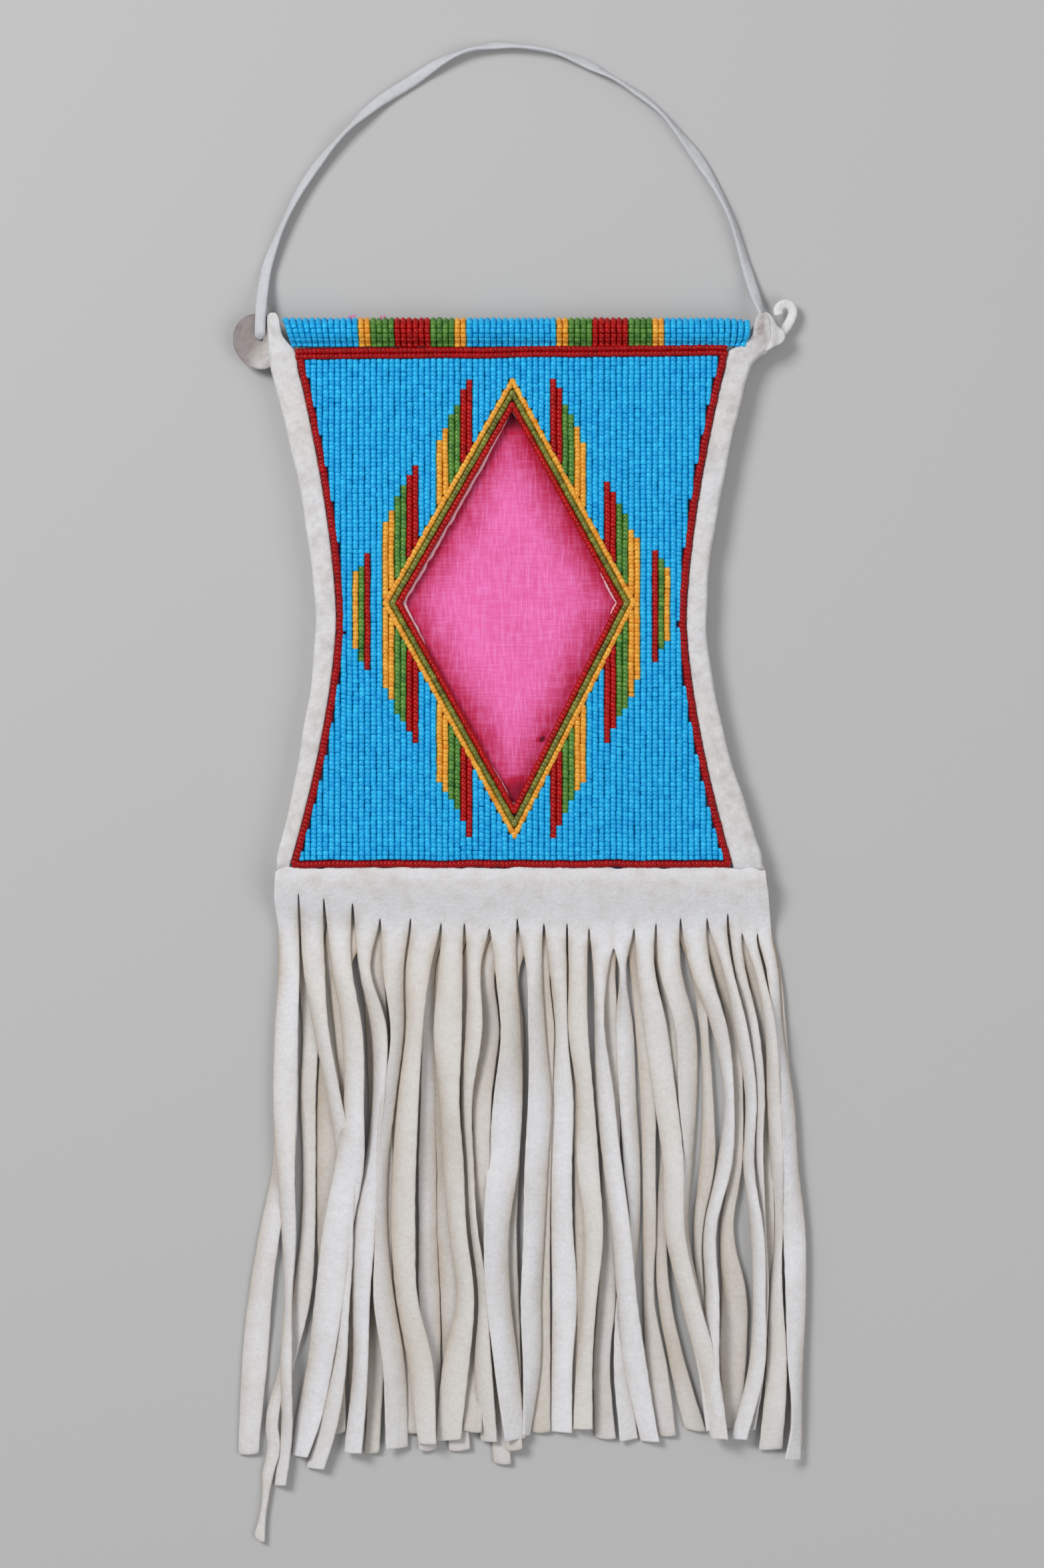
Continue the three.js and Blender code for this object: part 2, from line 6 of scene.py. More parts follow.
import bmesh
import bpy
import numpy as np
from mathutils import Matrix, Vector


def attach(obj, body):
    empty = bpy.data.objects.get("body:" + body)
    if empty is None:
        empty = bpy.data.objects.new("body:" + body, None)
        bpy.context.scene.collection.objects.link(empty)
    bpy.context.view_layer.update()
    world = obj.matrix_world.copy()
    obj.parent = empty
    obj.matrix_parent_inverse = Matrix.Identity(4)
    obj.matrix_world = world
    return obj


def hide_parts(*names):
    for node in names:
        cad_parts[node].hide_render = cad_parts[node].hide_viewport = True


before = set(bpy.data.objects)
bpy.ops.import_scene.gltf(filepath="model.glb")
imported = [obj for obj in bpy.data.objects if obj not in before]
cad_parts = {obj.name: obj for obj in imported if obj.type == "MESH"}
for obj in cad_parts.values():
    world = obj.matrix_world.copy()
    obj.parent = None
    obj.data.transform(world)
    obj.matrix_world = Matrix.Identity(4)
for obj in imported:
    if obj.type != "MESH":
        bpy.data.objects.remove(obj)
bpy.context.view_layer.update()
chance = random.Random(41)

# The bag is drawn in millimetres about the middle of its diamond; these move the drawing into the frame
DRAWING_X = -3.675
DRAWING_Y = 120.7

# Bead strings
STRING_PITCH = 2.25
BEAD_PITCH = 1.62
WINDOW_PITCH = 2.14
BEAD_LEVEL = 9.72

# Beaded field
FIELD_TOP = 93.0
FIELD_BOTTOM = -95.0
WAIST = -4.5
FLARE_CURVE = 1.55
TOP_EDGE = 98.2
HEM = -98.0

# Corners of the diamond: right, top, left, bottom
DIAMOND = [(47.0, 1.9), (0.4, 87.2), (-48.5, 1.6), (1.2, -88.2)]

# Rolled lip
LIP_Y = 103.6
LIP_Z = 8.5
LIP_RADIUS = 4.18
LIP_LEFT = -84.375
LIP_STRINGS = [
    ("turquoise", 12), ("yellow", 2), ("green", 4), ("red", 6), ("green", 4), ("yellow", 2),
    ("turquoise", 15), ("yellow", 2), ("green", 4), ("red", 6), ("green", 4), ("yellow", 2),
    ("turquoise", 14),
]

# Stepped motifs: side, first string, and the level at which each of six strings starts
STEPPED_MOTIFS = [
    (-1, 7, [86.0, 81.75, 75.5, 71.5, 67.25, 62.75]),
    (1, 7, [86.0, 81.5, 76.0, 71.5, 67.0, 62.25]),
    (-1, 16, [53.25, 49.5, 45.75, 41.25, 35.75, 31.75]),
    (1, 16, [47.5, 42.75, 39.0, 34.5, 29.25, 25.5]),
    (-1, 7, [-86.5, -80.75, -76.5, -72.0, -68.75, -65.0]),
    (1, 7, [-86.5, -81.25, -76.5, -72.0, -69.5, -66.25]),
    (-1, 16, [-51.75, -47.25, -43.5, -39.75, -35.0, -30.5]),
    (1, 16, [-51.0, -46.0, -41.25, -37.25, -33.0, -27.25]),
]
STEP_COLOURS = ["red", "red", "green", "green", "yellow", "yellow"]

# Side motifs: side, string, colour, top and bottom
SIDE_MOTIFS = [
    (-1, 24, "red", 20.5, -23.75), (-1, 25, "green", 15.75, -20.75), (-1, 26, "yellow", 13.0, -16.25),
    (1, 24, "red", 20.5, -21.0), (1, 25, "green", 17.5, -15.75), (1, 26, "yellow", 14.75, -12.0),
]

# Route of the thong from ear to ear
THONG_ROUTE = [
    (-94.5, 100.6, 7), (-94.2, 111, 7), (-93.8, 117, 5.01), (-93, 124, 2.44),
    (-91.4, 131, 1.47), (-86.56, 143.6, 1.3), (-79, 158.6, 1.3), (-68.04, 173.6, 1.3),
    (-53.01, 188.6, 1.3), (-37.99, 198.6, 1.3), (-23.53, 207.6, 1.3), (-6.99, 212.1, 1.3),
    (8.04, 211.1, 1.3), (22.97, 207.6, 1.3), (37.99, 200.1, 1.3), (53.02, 190.1, 1.3),
    (65.96, 175.6, 1.3), (75.51, 161.6, 1.3), (82.97, 146.6, 1.3), (88.2, 130, 1.47),
    (90.6, 122, 2.44), (92.6, 115, 5.01), (94.2, 109, 7), (94.5, 99.6, 7),
]

# Fringe: levels at which the strands are drawn, roots of the slits, and the strands themselves.
# A strand is its middle and its width as seen from above at each level and at its tip, the tip's level,
# which edge stands up where it turns, and how cool its white is at the top and at the tip.
STRAND_LEVELS = [-134.5, -159.5, -184.5, -209.5, -234.5, -259.5, -284.5, -309.5]
SLIT_ROOTS = [
    (-80.0, -109.0), (-70.5, -110.75), (-59.75, -111.0), (-49.5, -118.0), (-38.0, -117.25), (-26.5, -119.0),
    (-17.75, -119.75), (-8.25, -121.0), (2.25, -118.5), (12.25, -119.5), (21.0, -120.25), (29.25, -122.25),
    (38.5, -128.5), (46.25, -121.75), (54.5, -120.25), (63.75, -117.75), (73.75, -117.75), (81.5, -115.75),
    (87.0, -123.0), (92.75, -123.75),
]
FRONT_STRANDS = [
    ([-83.8, -84.8, -85.2, -85.1, -84.1, -84.4, -84.9, -84.9, -87.5],
     [8, 9, 9.5, 7.2, 5.8, 3.2, 4.8, 4.2, 4.5], -331, 1, 1.0, 0.6),
    ([-74.5, -71.6, -66.9, -62.5, -62.8, -63.2, -64.9, -69.5, -74.2],
     [8.5, 6.2, 5.2, 7, 6.5, 5, 5.2, 7, 7], -324.75, 1, 0.15, 0.7),
    ([-63.9, -60, -59.4, -60.9, -65.5, -68.6, -72.2, -77.4, -80.1],
     [7.8, 8, 7.8, 11.2, 11.5, 11.2, 10, 9.2, 6.2], -320, 1, 0.2, 1.0),
    ([-55.4, -49.9, -50.1, -53, -55.4, -56.8, -56.9, -58.5, -59.9],
     [4.8, 6.2, 4.8, 5, 8.8, 7, 6.2, 7, 6.8], -318.5, 1, 0.2, 1.0),
    ([-44.5, -42.8, -45.9, -48.5, -48.8, -47.9, -44.2, -43, -42.9],
     [8.5, 5, 5.2, 4.5, 4.5, 7.8, 8.5, 9, 8.2], -317, -1, 0.3, 0.5),
    ([-34.9, -36.8, -38.9, -40.4, -40.9, -39.5, -34.4, -32.1, -31.9],
     [9.8, 6.5, 8.2, 9.2, 9.2, 8.5, 9.8, 6.8, 6.8], -315, 1, 0.15, 0.1),
    ([-22.9, -24, -23.5, -22.1, -20.4, -17.5, -20.9, -23, -24],
     [9.2, 11, 8, 7.8, 7.2, 7, 10.2, 10.5, 9.5], -314, 1, 0.1, 0.1),
    ([-14, -14.2, -17, -16, -14, -11.1, -10.8, -8.4, -8.6],
     [5.5, 6.5, 4, 3, 3, 3.2, 6.5, 7.8, 6.2], -314.5, 1, 0.2, 0.15),
    ([-2.2, 0, -1.1, -3.1, -5.4, -4.8, -1.8, 1.4, 1.6],
     [8.5, 8, 11.2, 12.2, 9.8, 9.5, 9.5, 8.2, 7.8], -313.5, -1, 0.1, 1.0),
    ([8.5, 9.8, 10.8, 9.5, 8.6, 7.5, 7.9, 6.5, 6.1],
     [6.5, 6.5, 9, 9, 8.2, 8, 6.8, 3, 2.2], -312, -1, 0.4, 1.0),
    ([17.5, 18.4, 19, 18.5, 18.9, 20.1, 19, 18.6, 18.5],
     [7, 4.8, 9, 9, 8.8, 9.8, 8.5, 8.8, 8.5], -311, 1, 0.4, 1.0),
    ([25.1, 25.1, 27.8, 28.8, 30.9, 29.4, 27.4, 26.9, 26.8],
     [7.2, 7.8, 6.5, 8.5, 7.2, 5.8, 6.2, 7.2, 7.5], -309.6, 1, 0.1, 0.15),
    ([33.8, 33.1, 35.1, 37.9, 41.2, 43.4, 46.4, 51.6, 52.1],
     [6.5, 3.8, 7.2, 7.2, 7.5, 7.8, 8.8, 7.8, 7.2], -314.5, 1, 0.6, 1.0),
    ([41.9, 42.9, 43.9, 45.5, 46.5, 43, 41.4, 44, 44.5],
     [3.2, 6.8, 6.8, 6.5, 4, 6, 5.8, 7, 7], -314, -1, 0.8, 0.6),
    ([50.5, 54.6, 57.9, 60.9, 61.4, 66.8, 73.4, 77.6, 78.1],
     [7, 9.2, 8.8, 8.2, 7.8, 7.5, 8.2, 7.2, 6.2], -312.75, 1, 0.4, 0.3),
    ([59.6, 65.9, 66.6, 66.6, 63.8, 68.2, 73.2, 76.8, 76.8],
     [8.8, 7.8, 7.2, 3.8, 6.5, 6.5, 6.5, 6.5, 6.5], -309.75, -1, 0.35, 0.4),
    ([70.9, 78.4, 82, 80.2, 74.6, 75.6, 74.8, 77, 77.2],
     [8.2, 5.8, 4, 5.5, 4.8, 5.2, 6.5, 7, 6.5], -311, 1, 0.5, 0.9),
    ([81.1, 86.6, 90.1, 89.1, 92.4, 93.1, 92.4, 88, 85.5],
     [4.2, 5.2, 4.2, 3.8, 5.2, 4.8, 6.2, 6, 6], -313.25, 1, 0.4, 0.8),
    ([85.9, 90.9, 93.5, 93.1, 93.8, 94.5, 93, 89.8, 89.5],
     [4.2, 4.8, 2.5, 3.8, 3.5, 4, 5, 4.5, 4], -309.75, 1, 0.4, 0.4),
    ([92.8, 97.4, 98.6, 100, 100.4, 99.5, 99.9, 98.2, 97.8],
     [4, 4.2, 5.2, 5, 3.2, 5, 7.8, 9, 9], -317.75, 1, 0.3, 0.3),
    ([98, 100.5, 103.8, 105.4, 106.6, 107.2, 107.1, 107.5, 106.1],
     [5, 4, 5.5, 5.8, 8.8, 8, 6.2, 4, 6.2], -321, -1, 0.7, 1.0),
]
LAID_LAST = [0, 3, 5, 6, 8, 10, 12, 14, 17, 19, 2]
BACK_STRANDS = [
    ([-84.2, -84.8, -84.9, -86, -91.1, -94.8, -96.9, -98.8, -99.4],
     [7.5, 8.5, 8.8, 8, 7.8, 9, 9.8, 8.5, 7.8], -320, 1, 0.5, 0.85),
    ([-76.5, -75.8, -76.9, -76.4, -76.8, -79.1, -84.5, -90.5, -95],
     [8, 6.5, 5.8, 4.8, 5.5, 7.2, 5.5, 5, 3.4], -352.5, 1, 0.3, 0.6),
    ([-68, -68.2, -69.2, -69.8, -70.2, -68.9, -66.4, -65.4, -65.2],
     [8, 8.5, 8.5, 8, 6.5, 6.2, 6.2, 5.8, 5.5], -312, 1, 0.1, 0.2),
    ([-64, -63.9, -61.4, -58.9, -58.9, -58.9, -58.6, -58.4, -58.4],
     [7, 5.5, 6.2, 6.2, 6.2, 6.2, 5.8, 5.2, 5.2], -313.25, 1, 0.1, 0.2),
    ([-51.4, -50.8, -49.8, -48.8, -49.1, -49.2, -51.5, -52.2, -53],
     [8.8, 8.5, 8.5, 8.5, 8.2, 7.5, 7, 5.5, 6], -319.5, 1, 0.2, 0.2),
    ([-41, -41, -42, -43, -43, -42, -39, -37.5, -37],
     [8, 8, 8, 8, 8, 8, 8, 8, 8], -312, 1, 0.2, 0.2),
    ([-31.4, -30.9, -31.2, -31.6, -31.5, -31, -29.8, -30.8, -31.5],
     [6.2, 5.8, 6, 6.8, 7, 8, 6.5, 6.5, 7], -318.5, -1, 0.9, 0.9),
    ([-23.9, -24.8, -25.2, -24.1, -24.1, -23.2, -22, -20.5, -19.6],
     [8.8, 8.5, 8.5, 8.2, 8.2, 7.5, 8, 8, 8.2], -318.5, 1, 0.1, 0.6),
    ([-15.5, -15.5, -15.5, -15, -14.5, -14, -14, -14.5, -15],
     [7.5, 7.5, 7.5, 7.5, 7.5, 7.5, 7.5, 7.5, 7.5], -311, 1, 0.2, 0.2),
    ([-8.8, -8, -11.1, -11.2, -10, -8, -5.8, -4.5, -3.4],
     [6.5, 7, 7.2, 6, 7, 8, 7.5, 7, 6.8], -323.75, 1, 0.5, 0.6),
    ([-0.5, 0.2, -0.2, -1, -2, -1, -0.2, 1, 1],
     [8, 8.5, 8.5, 8, 8, 8, 7.5, 7, 6], -318, 1, 0.2, 0.3),
    ([11.5, 12.8, 11.8, 10.9, 11.2, 11.2, 10.9, 10.8, 10.8],
     [7, 6.5, 7.5, 8.2, 6.5, 6.5, 7.2, 7.5, 7.5], -311.75, 1, 0, 0),
    ([24.2, 24.8, 25.8, 27, 26.2, 26.8, 26, 24.8, 24.8],
     [7.5, 7.5, 7.5, 7, 5.5, 5.5, 7, 7.5, 7.5], -310, 1, 0.1, 0.1),
    ([35.5, 37.4, 37.6, 37.1, 36, 36, 34, 35.2, 35.4],
     [7.5, 6.2, 6.8, 6.8, 4.5, 7, 6.5, 8, 7.8], -314, 1, 0.3, 0.8),
    ([48.2, 49.4, 51.4, 51.8, 52, 51.6, 54.5, 58.8, 58.9],
     [7.5, 5.2, 5.8, 5, 5, 3.8, 8, 7, 6.8], -313.25, 1, 0.2, 0.6),
    ([57.4, 60.5, 60.8, 58.9, 56.5, 57.5, 62.4, 69, 69.5],
     [6.2, 5, 5.5, 5.8, 4.5, 5, 6.2, 8, 8], -311, 1, 0.3, 0.3),
    ([70.1, 72.5, 74.1, 73.8, 70.2, 71.2, 73.9, 76.1, 76.1],
     [6.8, 3, 3.8, 5.5, 3, 2.5, 5.8, 6.2, 6.2], -310, 1, 0.3, 0.3),
    ([78.8, 83.8, 85.1, 84.8, 81.2, 84, 83.5, 82.9, 83.2],
     [6.5, 4.5, 4.2, 4.5, 5, 9.5, 10, 6.2, 5], -309.75, 1, 0.1, 0.3),
    ([90.8, 94, 95.5, 96.8, 97, 97, 98, 98.2, 98.2],
     [5.5, 4, 4, 3.5, 4, 4, 5, 5.5, 5.5], -312, 1, 0.2, 0.2),
    ([98.5, 100.8, 102.8, 104.8, 106, 106.8, 107, 107.5, 107.5],
     [5, 5.5, 5.5, 5.5, 6, 5.5, 5, 4, 4], -317, 1, 0.2, 0.2),
]

# The long strand of the back ends thin, with a small knob: level, middle and width
THIN_STRAND = 1
THIN_END = [
    (-316.0, -89.8, 5.0), (-328.0, -92.3, 4.0), (-332.5, -92.7, 2.9),
    (-345.0, -94.4, 2.7), (-350.0, -95.2, 4.3),
]


def place(x, y, z):
    """A point of the drawing as a place in the frame."""
    return Vector(((x + DRAWING_X) / 1000, (y + DRAWING_Y) / 1000, z / 1000))


def smooth_run(levels, values, at):
    """A smooth curve through the values, read at the places asked for."""
    levels = np.asarray(levels, float)
    values = np.asarray(values, float)
    if levels[0] > levels[-1]:
        levels = levels[::-1]
        values = values[::-1]
    slope = np.gradient(values, levels)
    at = np.clip(np.asarray(at, float), levels[0], levels[-1])
    step = np.clip(np.searchsorted(levels, at) - 1, 0, len(levels) - 2)
    gap = levels[step + 1] - levels[step]
    s = (at - levels[step]) / gap
    start = values[step] * (2 * s**3 - 3 * s**2 + 1) + slope[step] * gap * (s**3 - 2 * s**2 + s)
    end = values[step + 1] * (3 * s**2 - 2 * s**3) + slope[step + 1] * gap * (s**3 - s**2)
    return start + end


def ramp(value, low, high):
    """0 below low, 1 above high, eased between."""
    s = np.clip((value - low) / (high - low), 0, 1)
    return s * s * (3 - 2 * s)


def wander(a, b=0.0, seed=0.0):
    """A slow wave of about -1 to 1 that never quite repeats."""
    return (
        np.sin(1.7 * a + 2.3 * b + 1.3 * seed) + np.sin(2.9 * a - 1.1 * b + 2.1 * seed)
        + np.sin(4.3 * a + 0.7 * b + 0.4 * seed)
    ) / 3


def hourglass(y, top, waist, bottom):
    """Half width of an edge that flares up and down from the waist."""
    end, reach = (top, FIELD_TOP - WAIST) if y > WAIST else (bottom, WAIST - FIELD_BOTTOM)
    return waist + (end - waist) * (abs(y - WAIST) / reach) ** FLARE_CURVE


def field_half(y):
    return hourglass(y, 80.6, 65.5, 82.3)


def left_outer(y):
    return -field_half(y) - hourglass(y, 10.9, 8.2, 6.2)


def right_outer(y):
    return field_half(y) + hourglass(y, 9.9, 7.7, 13.0)


def past_diamond(x, y):
    """How far a point lies outside the diamond."""
    far = -1e9
    for (ax, ay), (bx, by) in zip(DIAMOND, DIAMOND[1:] + DIAMOND[:1]):
        length = math.hypot(bx - ax, by - ay)
        far = max(far, ((x - ax) * (by - ay) - (y - ay) * (bx - ax)) / length)
    return far


# Finishes

# Attributes of the meshes that the effects follow
FOLLOWED = {"Cast": "cast", "DirtAndShade": "dirt_and_shade", "Tone": "bead_tone", "Depth": "depth"}


def linear(red, green, blue):
    """A colour read off a screen, as the shader wants it."""
    shares = [c / 255 for c in (red, green, blue)]
    return tuple(((c + 0.055) / 1.055) ** 2.4 if c > 0.0404 else c / 12.92 for c in shares) + (1.0,)


class Effect:
    """A shared shader effect while it is made: its node group, what it is given and what it makes."""

    def __init__(self, name, colours, numbers, outputs):
        self.tree = bpy.data.node_groups.new(name, "ShaderNodeTree")
        sockets = [("Place", "INPUT", "Vector")]
        sockets += [(colour, "INPUT", "Color") for colour in colours]
        sockets += [(number, "INPUT", "Float") for number in numbers]
        sockets += [(made, "OUTPUT", "Color" if made == "Color" else "Float") for made in outputs]
        for socket, way, kind in sockets:
            self.tree.interface.new_socket(name=socket, in_out=way, socket_type="NodeSocket" + kind)
        self.given = self.tree.nodes.new("NodeGroupInput").outputs
        self.made = self.tree.nodes.new("NodeGroupOutput").inputs

    def node(self, kind, inputs, **settings):
        """A node with its settings; an input is a number, a colour or another node's output."""
        node = self.tree.nodes.new("ShaderNode" + kind)
        for setting, value in settings.items():
            setattr(node, setting, value)
        for socket, value in inputs.items():
            if isinstance(value, (int, float, tuple)):
                node.inputs[socket].default_value = value
            else:
                self.tree.links.new(value, node.inputs[socket])
        return node.outputs

    def noise(self, scale, detail, where=None):
        where = self.given["Place"] if where is None else where
        return self.node("TexNoise", {"Vector": where, "Scale": scale, "Detail": detail})["Fac"]

    def add(self, first, second):
        return self.node("Math", {0: first, 1: second}, operation="ADD")[0]

    def times(self, first, second):
        return self.node("Math", {0: first, 1: second}, operation="MULTIPLY")[0]

    def spread(self, value, low, high, to_low, to_high):
        """The value with low to high stretched over to_low to to_high."""
        ends = {"Value": value, "From Min": low, "From Max": high, "To Min": to_low, "To Max": to_high}
        return self.node("MapRange", ends)["Result"]

    def mix(self, share, first, second):
        return self.node("Mix", {0: share, 6: first, 7: second}, data_type="RGBA")[2]

    def make(self, **outputs):
        for socket, value in outputs.items():
            self.tree.links.new(value, self.made[socket])
        return self.tree


def hide_nap():
    """Brushed hide: warm or cool white, mottled, with a fine nap, darkened towards its stain colour by
    stains and by painted shade.
    """
    hide = Effect("hide_nap", ["Warm", "Cool", "StainAndShade"], ["Mottle", "Cast", "DirtAndShade"],
                  ["Color", "Height", "Roughness"])
    given = hide.given
    broad = hide.noise(28, 4)
    patch = hide.noise(110, 5)
    worn = hide.noise(330, 4)
    nap = hide.noise(750, 6)
    fibre = hide.noise(2600, 3)
    cast = hide.add(given["Cast"], hide.spread(broad, 0.3, 0.7, -0.18, 0.18))
    white = hide.mix(cast, given["Warm"], given["Cool"])
    spots = hide.add(hide.spread(patch, 0.45, 0.7, 0, 1), hide.spread(worn, 0.42, 0.66, 0, 1))
    # The mottled spots are real stains; the attribute added to them also carries painted shade from
    # creases, flanks and the ground between beads
    stain_and_shade_share = hide.add(hide.times(spots, given["Mottle"]), given["DirtAndShade"])
    stained_and_shaded = hide.mix(stain_and_shade_share, white, given["StainAndShade"])
    shade = hide.spread(hide.add(nap, fibre), 0.7, 1.3, 0.92, 1.06)
    fuzz = hide.add(hide.times(nap, 0.7), hide.times(fibre, 0.3))
    return hide.make(
        Color=hide.node("VectorMath", {0: stained_and_shaded, "Scale": shade}, operation="SCALE")[0],
        Height=hide.add(fuzz, hide.times(patch, 0.8)),
        Roughness=hide.spread(nap, 0.3, 0.7, 0.82, 0.98),
    )


def bead_glass():
    """Glass of one colour that differs a little from bead to bead."""
    glass = Effect("bead_glass", ["Deep", "Pale"], ["Tone"], ["Color", "Roughness"])
    cloud = glass.spread(glass.noise(420, 2), 0.3, 0.7, -0.12, 0.12)
    tone = glass.add(glass.given["Tone"], cloud)
    return glass.make(
        Color=glass.mix(tone, glass.given["Deep"], glass.given["Pale"]),
        Roughness=glass.spread(tone, 0, 1, 0.3, 0.2),
    )


def slub_weave():
    """Plain woven cloth with thick and thin threads, darkened towards a painted shadow colour and a stain
    by the depth attribute.
    """
    cloth = Effect("slub_weave", ["Thread", "Shadow", "Pale", "Spot"], ["Depth"], ["Color", "Height"])
    given = cloth.given
    slubs = []
    waves = []
    for direction, stretch in (("X", (1.0, 0.11, 1.0)), ("Y", (0.1, 1.0, 1.0))):
        drawn = cloth.node("Mapping", {"Vector": given["Place"], "Scale": stretch})["Vector"]
        slubs.append(cloth.noise(1350, 3, drawn))
        thread = {"Vector": given["Place"], "Scale": 480, "Distortion": 1.2, "Detail Scale": 3.0}
        waves.append(cloth.node("TexWave", thread, bands_direction=direction)["Fac"])
    broad = cloth.noise(45, 3)
    # Depth carries painted shade towards the shadow colour, and past 1.1 a stain
    depth = cloth.add(given["Depth"], cloth.spread(slubs[0], 0.7, 0.3, -0.05, 0.1))
    depth = cloth.add(depth, cloth.spread(slubs[1], 0.7, 0.3, -0.03, 0.06))
    depth = cloth.add(depth, cloth.spread(broad, 0.3, 0.7, -0.08, 0.08))
    dyed = cloth.mix(depth, given["Thread"], given["Shadow"])
    worn = [cloth.spread(slub, 0.46, 0.72, 0, most) for slub, most in zip(slubs, (0.42, 0.26))]
    worn = cloth.times(cloth.add(*worn), cloth.spread(given["Depth"], 0, 1, 1, 0.2))
    spot = cloth.spread(given["Depth"], 1.1, 2.0, 0, 0.8)
    weave = cloth.times(cloth.times(*waves), 0.5)
    return cloth.make(
        Color=cloth.mix(spot, cloth.mix(worn, dyed, given["Pale"]), given["Spot"]),
        Height=cloth.add(weave, cloth.add(*slubs)),
    )


HIDE_NAP = hide_nap()
BEAD_GLASS = bead_glass()
SLUB_WEAVE = slub_weave()


def finish(name, effect, fills, surface, relief=(0, 0)):
    """A material that wears an effect: fills are the effect's colours and numbers, surface the shader's own
    settings, and relief the strength and the depth of its bumps."""
    material = bpy.data.materials.new(name)
    material.use_nodes = True
    tree = material.node_tree
    shader = tree.nodes["Principled BSDF"]
    look = tree.nodes.new("ShaderNodeGroup")
    look.node_tree = effect
    where = tree.nodes.new("ShaderNodeTexCoord")
    tree.links.new(where.outputs["Object"], look.inputs["Place"])
    for socket, attribute in FOLLOWED.items():
        if socket in look.inputs:
            reader = tree.nodes.new("ShaderNodeAttribute")
            reader.attribute_name = attribute
            tree.links.new(reader.outputs["Fac"], look.inputs[socket])
    for socket, value in fills.items():
        look.inputs[socket].default_value = linear(*value) if isinstance(value, tuple) else value
    for socket, value in surface.items():
        shader.inputs[socket].default_value = value
    tree.links.new(look.outputs["Color"], shader.inputs["Base Color"])
    if "Roughness" in look.outputs:
        tree.links.new(look.outputs["Roughness"], shader.inputs["Roughness"])
    if "Height" in look.outputs:
        raised = tree.nodes.new("ShaderNodeBump")
        raised.inputs["Strength"].default_value, raised.inputs["Distance"].default_value = relief
        tree.links.new(look.outputs["Height"], raised.inputs["Height"])
        tree.links.new(raised.outputs["Normal"], shader.inputs["Normal"])
    return material


def hide_finish(name, warm, cool, stain_and_shade, mottle):
    """Hide: the cast attribute turns it from warm to cool, and a second attribute darkens it towards the
    stain colour, for stains and for painted shade in creases, on flanks and between beads.
    """
    fills = {"Warm": warm, "Cool": cool, "StainAndShade": stain_and_shade, "Mottle": mottle}
    surface = {"Specular IOR Level": 0.15, "Sheen Weight": 0.12, "Sheen Roughness": 0.6}
    return finish(name, HIDE_NAP, fills, surface, (0.4, 0.0008))


def bead_finish(name, deep, pale, shine=0.5):
    return finish(name, BEAD_GLASS, {"Deep": deep, "Pale": pale}, {"Specular IOR Level": shine})


# Each stain colour here is also the colour of painted shade on that hide
WHITE_HIDE = hide_finish("white_hide", (216, 213, 209), (225, 226, 231), (177, 161, 142), 0.08)
THONG_HIDE = hide_finish("thong_hide", (193, 194, 197), (198, 201, 208), (150, 142, 136), 0.08)
BINDING_HIDE = hide_finish("binding_hide", (212, 209, 206), (217, 217, 221), (150, 138, 134), 0.2)
EAR_SUEDE = hide_finish("ear_suede", (212, 208, 205), (148, 140, 138), (104, 92, 88), 0.24)
# Its blue stain colour is painted shade with a painted blue reflection of the beads, for the hide that
# shows between them
BACKING_HIDE = hide_finish("backing_hide", (244, 186, 194), (226, 223, 219), (12, 86, 144), 0.05)
BEADS = {
    "turquoise": bead_finish("turquoise_beads", (6, 153, 217), (36, 185, 237), 0.36),
    "red": bead_finish("red_beads", (148, 9, 8), (182, 15, 14), 0.25),
    "green": bead_finish("green_beads", (46, 103, 34), (97, 147, 58)),
    "yellow": bead_finish("yellow_beads", (216, 134, 20), (236, 175, 62)),
}
BORDER_RED_BEADS = bead_finish("border_red_beads", (138, 8, 11), (168, 14, 18), 0.2)
OLIVE_BEADS = bead_finish("olive_beads", (80, 83, 24), (135, 135, 48))
PINK_CLOTH = finish(
    "pink_cloth", SLUB_WEAVE,
    {"Thread": (238, 106, 176), "Shadow": (186, 20, 60), "Pale": (248, 148, 214), "Spot": (52, 10, 26)},
    {"Roughness": 0.85, "Specular IOR Level": 0.2, "Sheen Weight": 0.15}, (0.5, 0.0005),
)


# Making of pieces

def add_object(name, data):
    thing = bpy.data.objects.new(name, data)
    bpy.context.scene.collection.objects.link(thing)
    return thing


def mesh_from(name, bm):
    mesh = bpy.data.meshes.new(name)
    bm.to_mesh(mesh)
    bm.free()
    return mesh


def add_piece(name, bm, material, nodes):
    """A finished mesh as a piece that rides on the bag."""
    mesh = mesh_from(name, bm)
    mesh.polygons.foreach_set("use_smooth", [True] * len(mesh.polygons))
    mesh.materials.append(material)
    piece = add_object(name, mesh)
    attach(piece, "root")
    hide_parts(*nodes)
    return piece


def shade_layers(bm):
    """The two attributes that a hide finish follows: its cast, and its darkening by stains and by painted
    shade.
    """
    return bm.verts.layers.float.new("cast"), bm.verts.layers.float.new("dirt_and_shade")


def sheet(across, along, lay):
    """A sheet: lay gives the place in the drawing, the cast and the darkening by stains and painted shade
    of each point of a grid.
    """
    bm = bmesh.new()
    bm.loops.layers.uv.new("laid_flat")
    cast, dirt_and_shade = shade_layers(bm)
    bmesh.ops.create_grid(bm, x_segments=across, y_segments=along, size=0.5, calc_uvs=True)
    for vert in bm.verts:
        x, y, z, vert[cast], vert[dirt_and_shade] = lay(vert.co.x + 0.5, vert.co.y + 0.5)
        vert.co = place(x, y, z)
    return bm


def join_doubles(bm, reach=1e-5):
    bmesh.ops.remove_doubles(bm, verts=bm.verts, dist=reach)
    bmesh.ops.recalc_face_normals(bm, faces=bm.faces)


